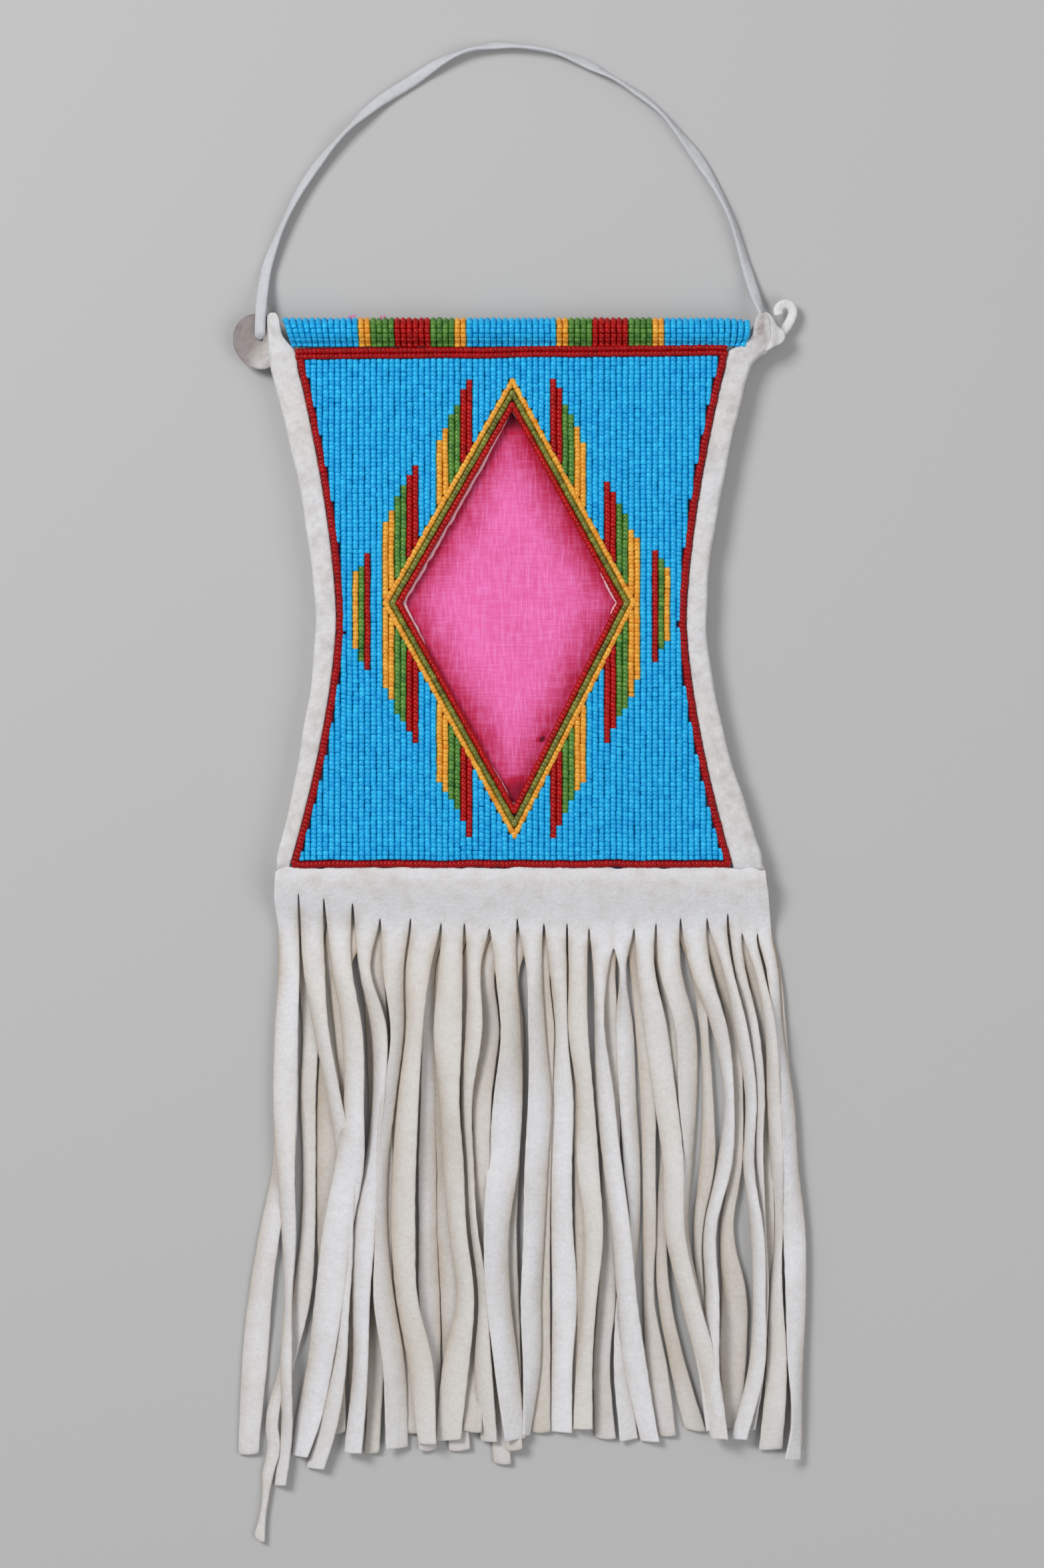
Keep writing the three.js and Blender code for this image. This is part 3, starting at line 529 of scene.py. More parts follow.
def close_ring(bm):
    """Joins a sheet laid in a ring where its ends meet, and turns it face up."""
    join_doubles(bm)
    if sum(face.normal.z for face in bm.faces) < 0:
        bmesh.ops.reverse_faces(bm, faces=bm.faces)


def thicken(piece, thickness, rounds=0):
    """Gives a sheet its thickness in millimetres, and rounds it off as often as asked."""
    wall = piece.modifiers.new("thickness", "SOLIDIFY")
    wall.thickness = thickness / 1000
    wall.offset = -1.0
    wall.use_even_offset = False
    if rounds:
        soft = piece.modifiers.new("soft", "SUBSURF")
        soft.levels = rounds
        soft.render_levels = rounds


def lace(name, points, half_wide, half_thick, twist, material, nodes,
         sides=10, steps=6, dip=0.0):
    """A flat lace along points in metres: twist is its turn in radians by the share of its length,
    and dip is how far its two ends dive."""
    squareness = 0.7
    closed_end = 0.02
    dive_share = 0.012
    shares = np.linspace(0, 1, len(points))
    read = np.linspace(0, 1, (len(points) - 1) * steps + 1)
    run = np.stack([smooth_run(shares, [p[axis] for p in points], read) for axis in range(3)], 1)
    tangents = np.gradient(run, axis=0)
    last = len(run) - 1
    bm = bmesh.new()
    cast, _ = shade_layers(bm)
    bmesh.ops.create_grid(bm, x_segments=sides, y_segments=last, size=0.5)
    for vert in bm.verts:
        i = round((vert.co.y + 0.5) * last)
        turn = (vert.co.x + 0.5) * 2 * math.pi
        along = Vector(tangents[i]).normalized()
        side = along.cross(Vector((0, 0, 1))).normalized()
        up = side.cross(along)
        lean = twist(read[i])
        wide = side * math.cos(lean) + up * math.sin(lean)
        thick = up * math.cos(lean) - side * math.sin(lean)
        a, b = (math.copysign(abs(part) ** squareness, part) for part in (math.cos(turn), math.sin(turn)))
        lift = math.hypot(half_thick * math.cos(lean), half_wide * math.sin(lean)) - half_thick
        dive = dip * (2 - ramp(read[i], 0, dive_share) - ramp(1 - read[i], 0, dive_share))
        middle = Vector(run[i]) + Vector((0, 0, (max(0, lift) - dive) / 1000))
        end = closed_end if i in (0, last) else 1.0
        vert.co = middle + (wide * a * half_wide + thick * b * half_thick) * end / 1000
        vert[cast] = 0.5 + 0.4 * wander(30 * read[i], a)
    join_doubles(bm)
    return add_piece(name, bm, material, nodes)


# Camera, straight above the bag

def set_camera():
    camera = add_object("camera", bpy.data.cameras.new("camera"))
    camera.data.lens = 97.8
    camera.data.sensor_width = 36
    camera.location = place(4.0, -66.375, 1609)
    bpy.context.scene.camera = camera


set_camera()


# Thong with its knots

LEFT_KNOT = (-94.5, 100.6, 2.0)
RIGHT_KNOT = (94.5, 99.6, 2.0)
KNOT_RADIUS = 3.0
TAIL_ROUTE = [
    (94.5, 99.6, 2.6), (98.5, 101.2, 3.2), (101.2, 103.3, 3.8), (103.7, 106.0, 4.0), (105.2, 108.7, 4.0),
    (106.0, 111.3, 4.0), (105.2, 113.6, 4.1), (103.2, 114.4, 4.4), (101.3, 113.6, 4.8), (100.3, 111.8, 5.3),
    (100.9, 110.0, 5.8),
]

# How the thong turns about itself: the share of its length, and the turn in radians there
THONG_STOPS = [
    0, 0.1, 0.17, 0.228, 0.25, 0.283, 0.324, 0.349, 0.4, 0.43, 0.454, 0.478, 0.514, 0.539,
    0.583, 0.613, 0.635, 0.672, 0.689, 0.715, 0.741, 0.772, 0.802, 0.848, 0.902, 0.943, 1,
]
THONG_TURNS = [
    0.2, 0.3, 0.6, 1.2, 1.0, 0.8, 1.3, 0.5, 0.1, 0.9, 1.5, 0.9, 1.4, 1.5,
    0.65, 1.42, 1.05, 1.3, 0.9, 0.3, 0.8, 1.15, 1.0, 0.5, 0.65, 1.15, 1.2,
]


def add_knot(name, at, node):
    """An overhand knot of lace that draws tight on itself."""
    x, y, z = at
    points = []
    for t in np.linspace(0, 2 * math.pi, 25):
        points.append(place(
            x + KNOT_RADIUS * (math.sin(t) + 2 * math.sin(2 * t)) / 3,
            y + KNOT_RADIUS * (math.cos(t) - 2 * math.cos(2 * t)) / 3,
            z - 0.55 * math.sin(3 * t),
        ))
    return lace(name, points, half_wide=1.2, half_thick=0.9, twist=lambda share: 0.4,
                material=WHITE_HIDE, nodes=[node], steps=2)


def make_thong():
    route = [place(*point) for point in THONG_ROUTE]
    thong = lace("handle_thong_lace", route, half_wide=2.2, half_thick=0.8,
                 twist=lambda share: float(smooth_run(THONG_STOPS, THONG_TURNS, share)),
                 material=THONG_HIDE, nodes=["handle_thong"], steps=8, dip=2.2)
    left = add_knot("left_thong_knot", LEFT_KNOT, "thong_knot_left")
    right = add_knot("right_thong_knot", RIGHT_KNOT, "thong_knot_right")
    tail = lace("curled_thong_tail", [place(*point) for point in TAIL_ROUTE], half_wide=1.8, half_thick=0.9,
                twist=lambda share: 0.2, material=WHITE_HIDE, nodes=["thong_knot_right"])


make_thong()


# Beads

# Outline that is spun into a bead: distance from the axis of its hole, and place along it
BEAD_PROFILE = [(0, -0.86), (0.91, -0.88), (1.08, -0.58), (1.14, 0), (1.08, 0.58), (0.91, 0.88), (0, 0.86)]

# How much single beads differ, as a spread about the mean
TILT_SPREAD = 0.05
GIRTH_SPREAD = 0.03
LENGTH_SPREAD = 0.05
PLACE_SPREAD = 0.05
TONE_SPREAD = 0.22

# Strings of the field, and how far they stop short of the border rows or reach into the window's rows
STRINGS_EACH_SIDE = 36
UNDER_DOUBLE_ROW = 2.2
OVER_BOTTOM_ROW = 1.55
INSIDE_SIDE_ROW = 1.15
INTO_WINDOW_ROWS = 0.4

# The turquoise field is made as three pieces, each between two levels
FIELD_THIRDS = {"upper": (31, 200), "middle": (-31, 31), "lower": (-200, -31)}

# Distance from the middle of the diamond to its sides
DIAMOND_DEPTH = 41.35

# How far the beads of the rows stand above those of the field
WINDOW_RISE = 0.2
BORDER_RISE = 0.3
BOTTOM_RISE = 0.1

# Each string of the lip is wrapped from the front seam over the roll, in degrees about its axis
LIP_BEADS = 11
LIP_START = 205
LIP_STEP = 22.5


def bead_blank():
    """One seed bead, its hole along Y, as a small mesh in millimetres."""
    bm = bmesh.new()
    verts = [bm.verts.new((r, along, 0)) for r, along in BEAD_PROFILE]
    edges = [bm.edges.new(pair) for pair in zip(verts, verts[1:])]
    bmesh.ops.spin(bm, geom=verts + edges, cent=(0, 0, 0), axis=(0, 1, 0), angle=2 * math.pi,
                   steps=8, use_merge=True)
    join_doubles(bm, 1e-4)
    mesh = mesh_from("bead_blank", bm)
    shape = np.zeros(len(mesh.vertices) * 3)
    mesh.vertices.foreach_get("co", shape)
    return mesh, shape.reshape(-1, 3)


BEAD_MESH, BEAD_SHAPE = bead_blank()


def stray(spread):
    """A small random step in each of three directions."""
    return [chance.gauss(0, spread) for _ in range(3)]


def add_beads(name, beads, material, nodes, size):
    """Beads as one piece: a bead is its middle in the drawing and the way its hole runs, and size is
    the girth of them all against the blank."""
    bm = bmesh.new()
    rows = []
    tones = []
    for middle, hole in beads:
        bm.from_mesh(BEAD_MESH)
        hole = (Vector(hole).normalized() + Vector(stray(TILT_SPREAD))).normalized()
        side = hole.cross(Vector((0, 0, 1)) if abs(hole.z) < 0.9 else Vector((0, 1, 0))).normalized()
        up = side.cross(hole)
        girth = size * chance.gauss(1, GIRTH_SPREAD)
        long = chance.gauss(1, LENGTH_SPREAD)
        turned = BEAD_SHAPE * (girth, long, girth) @ np.array([side, hole, up])
        rows.append(turned + np.add(middle, stray(PLACE_SPREAD)))
        tones.append(min(1, max(0, chance.gauss(0.5, TONE_SPREAD))))
    piece = add_piece(name, bm, material, nodes)
    coords = (np.concatenate(rows) + (DRAWING_X, DRAWING_Y, 0)) / 1000
    piece.data.vertices.foreach_set("co", coords.ravel())
    add_values(piece, "bead_tone", np.repeat(tones, len(BEAD_SHAPE)))
    piece.data.update()


def add_values(piece, name, values):
    """An attribute with one value for each point of a piece."""
    piece.data.attributes.new(name, "FLOAT", "POINT").data.foreach_set("value", values)


def motif_colour(string, y):
    """Colour of a bead on one string of the field."""
    side = -1 if string < 0 else 1
    count = abs(string)
    for motif_side, first, starts in STEPPED_MOTIFS:
        step = count - first
        if motif_side == side and 0 <= step < len(starts):
            if min(0, starts[step]) < y < max(0, starts[step]):
                return STEP_COLOURS[step]
    for motif_side, at_string, colour, top, bottom in SIDE_MOTIFS:
        if motif_side == side and count == at_string and bottom < y < top:
            return colour
    return "turquoise"


def in_field(x, y):
    """Whether a bead has room inside the border rows and outside the window's rows."""
    if not bottom_row_level(x) + OVER_BOTTOM_ROW < y < top_row_level(x) - UNDER_DOUBLE_ROW:
        return False
    reach = side_row_reach(math.copysign(1, x), y) - INSIDE_SIDE_ROW
    return abs(x) < reach and past_diamond(x, y) > -INTO_WINDOW_ROWS


def field_beads():
    """Beads of the field by colour, strung from bottom to top."""
    found = {colour: [] for colour in BEADS}
    levels = np.arange(FIELD_BOTTOM - 1.0, TOP_EDGE, 0.1)
    for string in range(-STRINGS_EACH_SIDE, STRINGS_EACH_SIDE + 1):
        x = string * STRING_PITCH
        sway = chance.uniform(0, 6)
        start = None
        for i, is_clear in enumerate([in_field(x, y) for y in levels] + [False]):
            if is_clear and start is None:
                start = i
            if not is_clear and start is not None:
                low, high = levels[start], levels[i - 1]
                start = None
                count = round((high - low) / BEAD_PITCH)
                for n in range(count):
                    y = low + (n + 0.5) * (high - low) / count
                    shift = 0.12 * wander(y / 14, string / 5, sway)
                    found[motif_colour(string, y)].append(((x + shift, y, BEAD_LEVEL), (0, 1, 0)))
    return found


def row_of_beads(corners, level):
    """Beads evenly along a line of points."""
    beads = []
    for (ax, ay), (bx, by) in zip(corners, corners[1:]):
        count = max(1, round(math.hypot(bx - ax, by - ay) / BEAD_PITCH))
        for n in range(count):
            s = (n + 0.5) / count
            beads.append(((ax + (bx - ax) * s, ay + (by - ay) * s, level), (bx - ax, by - ay, 0)))
    return beads


def even_line(points):
    """The same line with its points a bead apart."""
    points = np.array(points, float)
    run = np.concatenate([[0], np.cumsum(np.hypot(*np.diff(points, axis=0).T))])
    read = np.linspace(0, run[-1], round(run[-1] / BEAD_PITCH) + 1)
    return list(zip(np.interp(read, run, points[:, 0]), np.interp(read, run, points[:, 1])))


def window_beads(depth):
    """Beads of a row round the window at a depth inside the diamond, with more at its corners."""
    middle_x = sum(x for x, y in DIAMOND) / 4
    middle_y = sum(y for x, y in DIAMOND) / 4
    scale = 1 - depth / DIAMOND_DEPTH
    ring = [(middle_x + (x - middle_x) * scale, middle_y + (y - middle_y) * scale) for x, y in DIAMOND]
    ring.append(ring[0])
    level = BEAD_LEVEL + WINDOW_RISE
    return [((x, y, level), (y, -x, 0)) for x, y in ring] + row_of_beads(ring, level)


def top_row_level(x):
    """Middle of the double row under the lip, which drops a little to the left."""
    return 95.75 + 0.75 * x / 80 + 0.2 * wander(x / 22)


def bottom_row_level(x):
    return FIELD_BOTTOM - 1.45 + 0.3 * wander(x / 12, 1.0)


def side_row_reach(side, y):
    """How far out a side row runs at one level; it jogs a little where the strings end."""
    return field_half(y) - 1.3 + 0.28 * wander(y / 3.1, side)


def border_beads():
    """Beads of the side rows and the bottom row, and of the double row under the lip."""
    stout = []
    top_end = field_half(FIELD_TOP)
    for side in (-1, 1):
        levels = np.linspace(bottom_row_level(side * 80), top_row_level(side * top_end) - 2.0, 150)
        line = [(side * side_row_reach(side, y), y) for y in levels]
        stout += row_of_beads(even_line(line), BEAD_LEVEL + BORDER_RISE)
    end = field_half(FIELD_BOTTOM) - 0.2
    line = [(x, bottom_row_level(x)) for x in np.linspace(-end, end, 150)]
    stout += row_of_beads(even_line(line), BEAD_LEVEL + BOTTOM_RISE)
    double = []
    end = top_end + 0.4
    inner = np.linspace(-end, end, 200)
    for shift in (-1.04, 1.04):
        line = [(x, top_row_level(x) + shift - 0.4 * ramp(abs(x), end - 1.8, end)) for x in inner]
        double += row_of_beads(even_line(line), BEAD_LEVEL + BORDER_RISE)
    return stout, double


def lip_beads():
    """Beads of the lip by colour; the strings lean at both ends, and the last ones bulge to the right."""
    found = {colour: [] for colour in BEADS}
    colours = [colour for colour, count in LIP_STRINGS for _ in range(count)]
    for string, colour in enumerate(colours):
        past = (string + 0.5) * STRING_PITCH
        x = LIP_LEFT + past
        lean = 2.3 * max(0.0, 1 - past / 20) ** 1.5 + 0.7 * max(0.0, 1 - past / 60) - 1.0 * ramp(x, 76, 90)
        radius = LIP_RADIUS * (1 - 0.2 * ramp(x, 80, 90))
        bulge = 0.8 * ramp(x, 78, 90)
        for k in range(LIP_BEADS):
            turn = math.radians(LIP_START - k * LIP_STEP)
            y = LIP_Y + radius * math.cos(turn)
            z = LIP_Z + radius * math.sin(turn)
            hole = (-lean / 8, math.sin(turn), -math.cos(turn))
            if k == 0:
                y, z, hole = LIP_Y - 4.95, LIP_Z + 1.05, (-lean / 8, 1, 0)
            level = (y - LIP_Y) / LIP_RADIUS
            shift = bulge * max(0.0, 1 - level**2) - lean * level / 2
            found[colour].append(((x + shift + 0.08 * wander(k, x), y, z), hole))
    return found


def make_beads():
    field = field_beads()
    for part, (low, high) in FIELD_THIRDS.items():
        beads = [bead for bead in field["turquoise"] if low <= bead[0][1] < high]
        add_beads(f"turquoise_strings_{part}", beads, BEADS["turquoise"],
                  ["turquoise_field"], size=1.07)
    steps = [f"{end}_{side}_{ring}" for end in ("upper", "lower") for side in ("left", "right")
             for ring in ("inner", "outer")] + ["left_side_motif", "right_side_motif"]
    for colour in ("red", "green", "yellow"):
        add_beads(f"{colour}_motif_strings", field[colour], BEADS[colour],
                  [f"{step}_{colour}" for step in steps], size=1.06)
    looks = {"yellow": BEADS["yellow"], "green": OLIVE_BEADS, "red": BEADS["red"]}
    for row, (colour, look) in enumerate(looks.items()):
        beads = window_beads((row + 0.5) * WINDOW_PITCH)
        add_beads(f"window_string_{colour}", beads, look, [f"window_row_{colour}"],
                  size=1.04)
    stout, double = border_beads()
    add_beads("red_border_strings", stout, BORDER_RED_BEADS, ["border_rows"], size=1.28)
    add_beads("red_double_strings", double, BORDER_RED_BEADS, ["border_rows"], size=1.06)
    bands = [f"lip_band_{i + 1:02d}_{colour}" for i, (colour, count) in enumerate(LIP_STRINGS)]
    for colour, beads in lip_beads().items():
        nodes = [band for band in bands if band.endswith(colour)]
        add_beads(f"{colour}_lip_strings", beads, BEADS[colour], nodes, size=1.04)


make_beads()


# Panels and lining

PANEL_LEVEL = 8.6
BACK_LEVEL = 1.36
LINING_LEVEL = 6.9
LIP_CORE_RADIUS = 3.05
LIP_CORE_LENGTH = 171.5
FARTHEST = 160.0

# Where the window's cut edge shows past the rows: direction, cosines between which it comes in, and weight
BARE_EDGES = [(2.55, 0.3, 0.8, 1.0), (0.14, 0.95, 0.995, 0.8), (-1.64, 0.9965, 0.999, 0.7)]

# A dark stain on the lining with its size, and painted shade in two deep corners with their reach and
# weight
SPOT = (11.3, -49.3, 0.85)
DEEP_CORNERS = [(1.5, -72.3, 4.5, 11, 0.8), (0.8, 73.5, 3.5, 9.5, 0.9)]

# Where tufts of the lining show at the mouth
TUFTS = [(-60.9, 108.4), (-60.2, 108.5), (-48.9, 108.3), (-47.6, 108.4)]


def reach_within(turn, inside):
    """How far one can go from the middle of the drawing in one direction and still be inside."""
    low, high = 0.0, FARTHEST
    for _ in range(40):
        middle = (low + high) / 2
        if inside(middle * math.cos(turn), middle * math.sin(turn)):
            low = middle
        else:
            high = middle
    return low


def in_window(x, y):
    return past_diamond(x, y) < 0.3 - 3 * WINDOW_PITCH


def in_panel(x, y):
    """Whether a point lies within the outline of the front panel."""
    top = LIP_Y - 2 if LIP_LEFT + 4 < x < 85 else TOP_EDGE - 6
    return HEM - 4 < y < top and left_outer(y) + 1.6 < x < right_outer(y) - 1.6


def make_front_panel():
    def lay(u, v):
        turn = (0.5 - 2 * u) * math.pi
        seen = sum(weight * ramp(math.cos(turn - way), low, high) for way, low, high, weight in BARE_EDGES)
        seen = min(1, seen)
        near = reach_within(turn, in_window) - seen * (0.95 + 0.4 * wander(u * 70))
        reach = near + (reach_within(turn, in_panel) - near) * v**1.6
        rim = 1 - ramp(reach - near, 0.0, 1.4)
        z = PANEL_LEVEL + (1.2 * seen - 0.5) * rim * (1 - v)
        x, y = reach * math.cos(turn), reach * math.sin(turn)
        # Painted shade and a painted blue reflection on the hide wherever beads cover it; the window's cut
        # edge and the hide past the field stay bare
        bare = max(rim, ramp(abs(x) - field_half(min(y, TOP_EDGE)), -0.5, 1.0), ramp(y, 96.2, 97.2))
        return x, y, z, 1 - rim, 0.9 * (1 - bare)

    bm = sheet(256, 14, lay)
    close_ring(bm)
    thicken(add_piece("front_hide_panel", bm, BACKING_HIDE, ["front_panel"]), thickness=1.3)


def make_lip_roll():
    """The rolled margin under the lip's beads."""
    def lay(u, v):
        turn = -v * 2 * math.pi
        radius = LIP_CORE_RADIUS * (1 - 0.5 * ramp(abs(u - 0.5), 0.49, 0.5))
        y = LIP_Y + radius * math.cos(turn)
        z = LIP_Z + radius * math.sin(turn)
        # Painted shade and a painted blue reflection under the lip's beads, over all but the roll's
        # underside
        return LIP_LEFT + 0.8 + u * LIP_CORE_LENGTH, y, z, 1.0, 0.85 * ramp(math.sin(turn), -0.6, -0.35)

    bm = sheet(80, 14, lay)
    join_doubles(bm)
    bmesh.ops.holes_fill(bm, edges=bm.edges)
    bmesh.ops.recalc_face_normals(bm, faces=bm.faces)
    add_piece("lip_roll", bm, BACKING_HIDE, ["front_panel"])


def make_back_panel():
    foot = -103.0

    def lay(u, v):
        y = foot + v * (TOP_EDGE - foot)
        left, right = max(left_outer(y), BAND_LEFT), min(right_outer(y), 94.6)
        x = left + u * (right - left)
        z = BACK_LEVEL + 0.12 * wander(x / 25, y / 30)
        return x, y, z, 0.35 + 0.3 * wander(x / 40, y / 50, 2), 0.12 * ramp(abs(u - 0.5), 0.4, 0.5)

    back = add_piece("back_hide_panel", sheet(36, 44, lay), WHITE_HIDE, ["back_panel"])
    thicken(back, thickness=1.2)


def make_lining():
    depths = []

    def lay(u, v):
        x = -58.0 + 116.0 * u
        y = -90.0 + 188.0 * v
        inside = -past_diamond(x, y) - 3 * WINDOW_PITCH
        z = LINING_LEVEL + 0.8 * ramp(inside, -2.0, 24.0) + 0.12 * wander(x / 9, y / 30, 3)
        # Painted shade along the window's rim, a little lighter to the lower right and darker towards the
        # top, then a dark stain and painted shade in the deep corners
        edge = 1.0 - ramp(inside + 1.3 * wander(x / 7, y / 9), -3.0, 17.5)
        spot_x, spot_y, size = SPOT
        depth = edge * (1 - 0.12 * ramp(x - y, 20, 60)) + 0.1 * ramp(y, 40, 85)
        depth += 3.0 * math.exp(-((x - spot_x) / size) ** 2 - ((y - spot_y) / size) ** 2)
        for corner_x, corner_y, near, far, weight in DEEP_CORNERS:
            depth += weight * (1 - ramp(math.hypot(x - corner_x, y - corner_y), near, far))
        depths.append(depth)
        return x, y, z, 0.0, 0.0

    lining = add_piece("pink_window_lining", sheet(80, 130, lay), PINK_CLOTH, ["window_lining"])
    add_values(lining, "depth", depths)
    thicken(lining, thickness=0.5)


def make_tufts():
    """Threads of the lining that show at the mouth."""
    for i, (x, y) in enumerate(TUFTS):
        turn = 1.2 * wander(3.0 * i, 1.0)
        steps = [(0, -1.2, 9.0), (0.2, 0.2, 10.6), (1.0, 0.8, 11.4), (1.9, 0.7, 11.2)]
        route = [place(x + share * turn, y + rise, z) for share, rise, z in steps]
        lace(f"lining_tuft_{i + 1}", route, half_wide=0.3, half_thick=0.2, twist=lambda share: 0.3,
             material=PINK_CLOTH, nodes=["window_lining"], sides=6, steps=4)


# Side bindings and ears

# Tips of the bindings: levels, then the inner and the outer edge at each
LEFT_TIP = (
    [84.0, 88.0, 91.75, 96.25, 98.0, 100.5, 105.5, 109.25, 110.75],
    [-79.4, -79.9, -80.25, -81.0, -82.4, -85.0, -86.8, -87.4, -88.4],
    [-89.6, -90.3, -91.0, -91.5, -91.4, -91.3, -91.5, -91.7, -91.0],
)
RIGHT_TIP = (
    [84.0, 88.0, 91.75, 94.25, 96.25, 97.4, 98.6, 100.5, 104.25, 108.5, 110.5],
    [79.4, 79.9, 80.4, 80.7, 81.0, 82.2, 86.6, 89.25, 90.75, 91.75, 93.0],
    [88.8, 89.7, 91.0, 93.4, 96.0, 97.2, 97.7, 97.8, 97.2, 96.9, 95.4],
)

# The fold of a binding from its inner edge round to the back: share of its width, and level
FOLD_SHARES = [0.0, 0.03, 0.12, 0.45, 0.8, 0.94, 0.985, 1.0, 0.985, 0.92, 0.7]
FOLD_LEVELS = [9.3, 9.9, 10.2, 10.4, 10.25, 9.7, 8.4, 6.0, 3.2, 1.8, 1.6]
BINDING_FOOT = -99.5
BINDING_TOP = 110.7

# Ends of the bag at the fringe band
BAND_LEFT = -88.2
BAND_RIGHT = 94.4

# Ears: radius of the hole, then the middle, the outline and the level of each
EAR_HOLE = 0.6
LEFT_EAR = ((-94.3, 101.0), [
    (-104.9, 101.0), (-104.2, 105.0), (-101.4, 108.8), (-97.4, 110.7), (-92.0, 109.5), (-87.0, 104.0),
    (-86.0, 97.0), (-88.5, 91.5), (-92.9, 89.6), (-98.4, 90.6), (-102.6, 94.4), (-104.6, 98.0),
], 5.7)
RIGHT_EAR = ((95.5, 102.3), [
    (95.5, 111.0), (98.0, 109.2), (100.5, 105.5), (102.5, 104.2), (103.2, 101.8), (102.5, 100.0),
    (99.2, 98.0), (95.6, 96.2), (92.5, 95.8), (89.8, 96.6), (89.0, 101.0), (91.5, 107.0),
], 8.2)


def binding_edges(side, y):
    """Inner and outer edge of a side binding at one level."""
    levels, inner, outer = LEFT_TIP if side < 0 else RIGHT_TIP
    near = side * (field_half(y) + 0.1)
    far = left_outer(y) if side < 0 else right_outer(y)
    if y < levels[0]:
        return near, far
    share = ramp(y, levels[0], levels[0] + 6)
    near = (1 - share) * near + share * float(smooth_run(levels, inner, y))
    far = (1 - share) * far + share * float(smooth_run(levels, outer, y))
    return near, far


def make_binding(name, side, node):
    stops = np.linspace(0, 1, len(FOLD_SHARES))

    def lay(u, v):
        s = u if side > 0 else 1 - u
        y = BINDING_FOOT + v * (BINDING_TOP - BINDING_FOOT)
        near, far = binding_edges(side, y)
        if y < -90:
            far = min(BAND_RIGHT, max(BAND_LEFT, far))
        share = float(smooth_run(stops, FOLD_SHARES, s))
        z = float(smooth_run(stops, FOLD_LEVELS, s))
        tip = ramp(y, 96, 106)
        z = z * (1 - tip) + tip * (8.6 + 0.22 * (z - 1.6))
        shut = 1 - ramp(y, BINDING_FOOT, -96.0)
        z = z * (1 - shut) + shut * (8.2 + 0.15 * (z - 6.0))
        edge = 1 - ramp(s, 0.0, 0.16)
        sway = 0.28 * edge * math.sin(y * 1.55) + 0.4 * wander(y / 17, s, side) * ramp(s, 0.1, 0.5)
        x = near + (far - near) * share + side * sway
        z += 0.3 * wander(y / 9, 3 * s, 2 + side) * ramp(s, 0.1, 0.4)
        # Painted shade in the fold at the right binding's tip, partly the darker flesh side of the suede
        tuck = math.exp(-((x - 94.0) / 2.3) ** 2 - ((y - 104.0) / 5.5) ** 2)
        tuck *= 0.85 + 0.5 * wander(x / 2, y / 3)
        # Darker along the inner edge, and painted shade where the binding turns down to the back
        return x, y, z, 0.5 + 0.35 * wander(y / 33, s, 5), 0.12 * edge + 0.25 * ramp(s, 0.62, 0.9) + tuck

    thicken(add_piece(name, sheet(16, 104, lay), BINDING_HIDE, [node]), thickness=1.0, rounds=1)


def make_ear(name, ear, rise, cast, node, material):
    """An ear of hide: a rounded flap with a pierced hole."""
    (middle_x, middle_y), outline, level = ear
    around = 2 * math.pi
    reach = sorted((math.atan2(y - middle_y, x - middle_x) % around, math.hypot(x - middle_x, y - middle_y))
                   for x, y in outline)
    turns = [reach[-1][0] - around] + [turn for turn, span in reach] + [reach[0][0] + around]
    spans = [reach[-1][1]] + [span for turn, span in reach] + [reach[0][1]]

    def lay(u, v):
        turn = u * around
        far = float(smooth_run(turns, spans, turn % around))
        span = EAR_HOLE + (far - EAR_HOLE) * (1 - v)
        x = middle_x + span * math.cos(turn)
        y = middle_y + span * math.sin(turn)
        z = level + rise(x) + 0.35 * wander(x / 4, y / 4)
        return x, y, z, cast(x, y), 0.25 * ramp(v, 0.75, 1.0) + 0.15 * (1 - ramp(v, 0.0, 0.12))

    bm = sheet(48, 9, lay)
    close_ring(bm)
    thicken(add_piece(name, bm, material, [node]), thickness=1.2, rounds=1)


def make_sides():
    make_binding("left_binding", -1, "left_side_binding")
    make_binding("right_binding", 1, "right_side_binding")
    make_ear("left_ear", LEFT_EAR, lambda x: 1.9 * ramp(x, -97, -89),
             lambda x, y: 1.1 - 1.0 * ramp(x - 0.6 * (y - 100), -101, -86), "left_side_binding", EAR_SUEDE)
    make_ear("right_ear", RIGHT_EAR, lambda x: 2.0 * math.exp(-((x - 97.5) / 2.6) ** 2),
             lambda x, y: 0.6, "right_side_binding", BINDING_HIDE)


make_front_panel()
make_lip_roll()
make_back_panel()
make_lining()
make_tufts()
make_sides()


# Fringe

# Heights of what lies under the next strand, in a grid of millimetres
PILE_HALF_WIDTH = 120
PILE_LENGTH = 350
PILE_TOP = -60
pile = np.zeros((2 * PILE_HALF_WIDTH + 1, PILE_LENGTH))

# Outer edges of the fringe band, and where they turn into strands
EDGE_LEVELS = [-97, -99.5, -109.5, -122, -134.5]
LEFT_EDGE = [-88.6, -88.7, -89.2, -87.8, -87.7]
RIGHT_EDGE = [95.3, 95.5, 96.8, 98.2, 100.4]
OUTER_ROOT = -122.0

# Columns of points across a strand, close together at its cut edges
FRONT_COLUMNS = [0.0, 0.08, 0.28, 0.5, 0.72, 0.92, 1.0]
BACK_COLUMNS = [0.0, 0.1, 0.5, 0.9, 1.0]

# Ends of the back band, the roots that aren't drawn, and how high a strand lies on what is under it
BACK_BAND = (-88.0, 97.2)
UNSEEN_ROOT = -118.0
STRAND_LIFT = 1.25


def pile_cell(x, y):
    column = min(2 * PILE_HALF_WIDTH, max(0, round(x) + PILE_HALF_WIDTH))
    row = min(PILE_LENGTH - 1, max(0, round(-y) + PILE_TOP))
    return int(column), int(row)


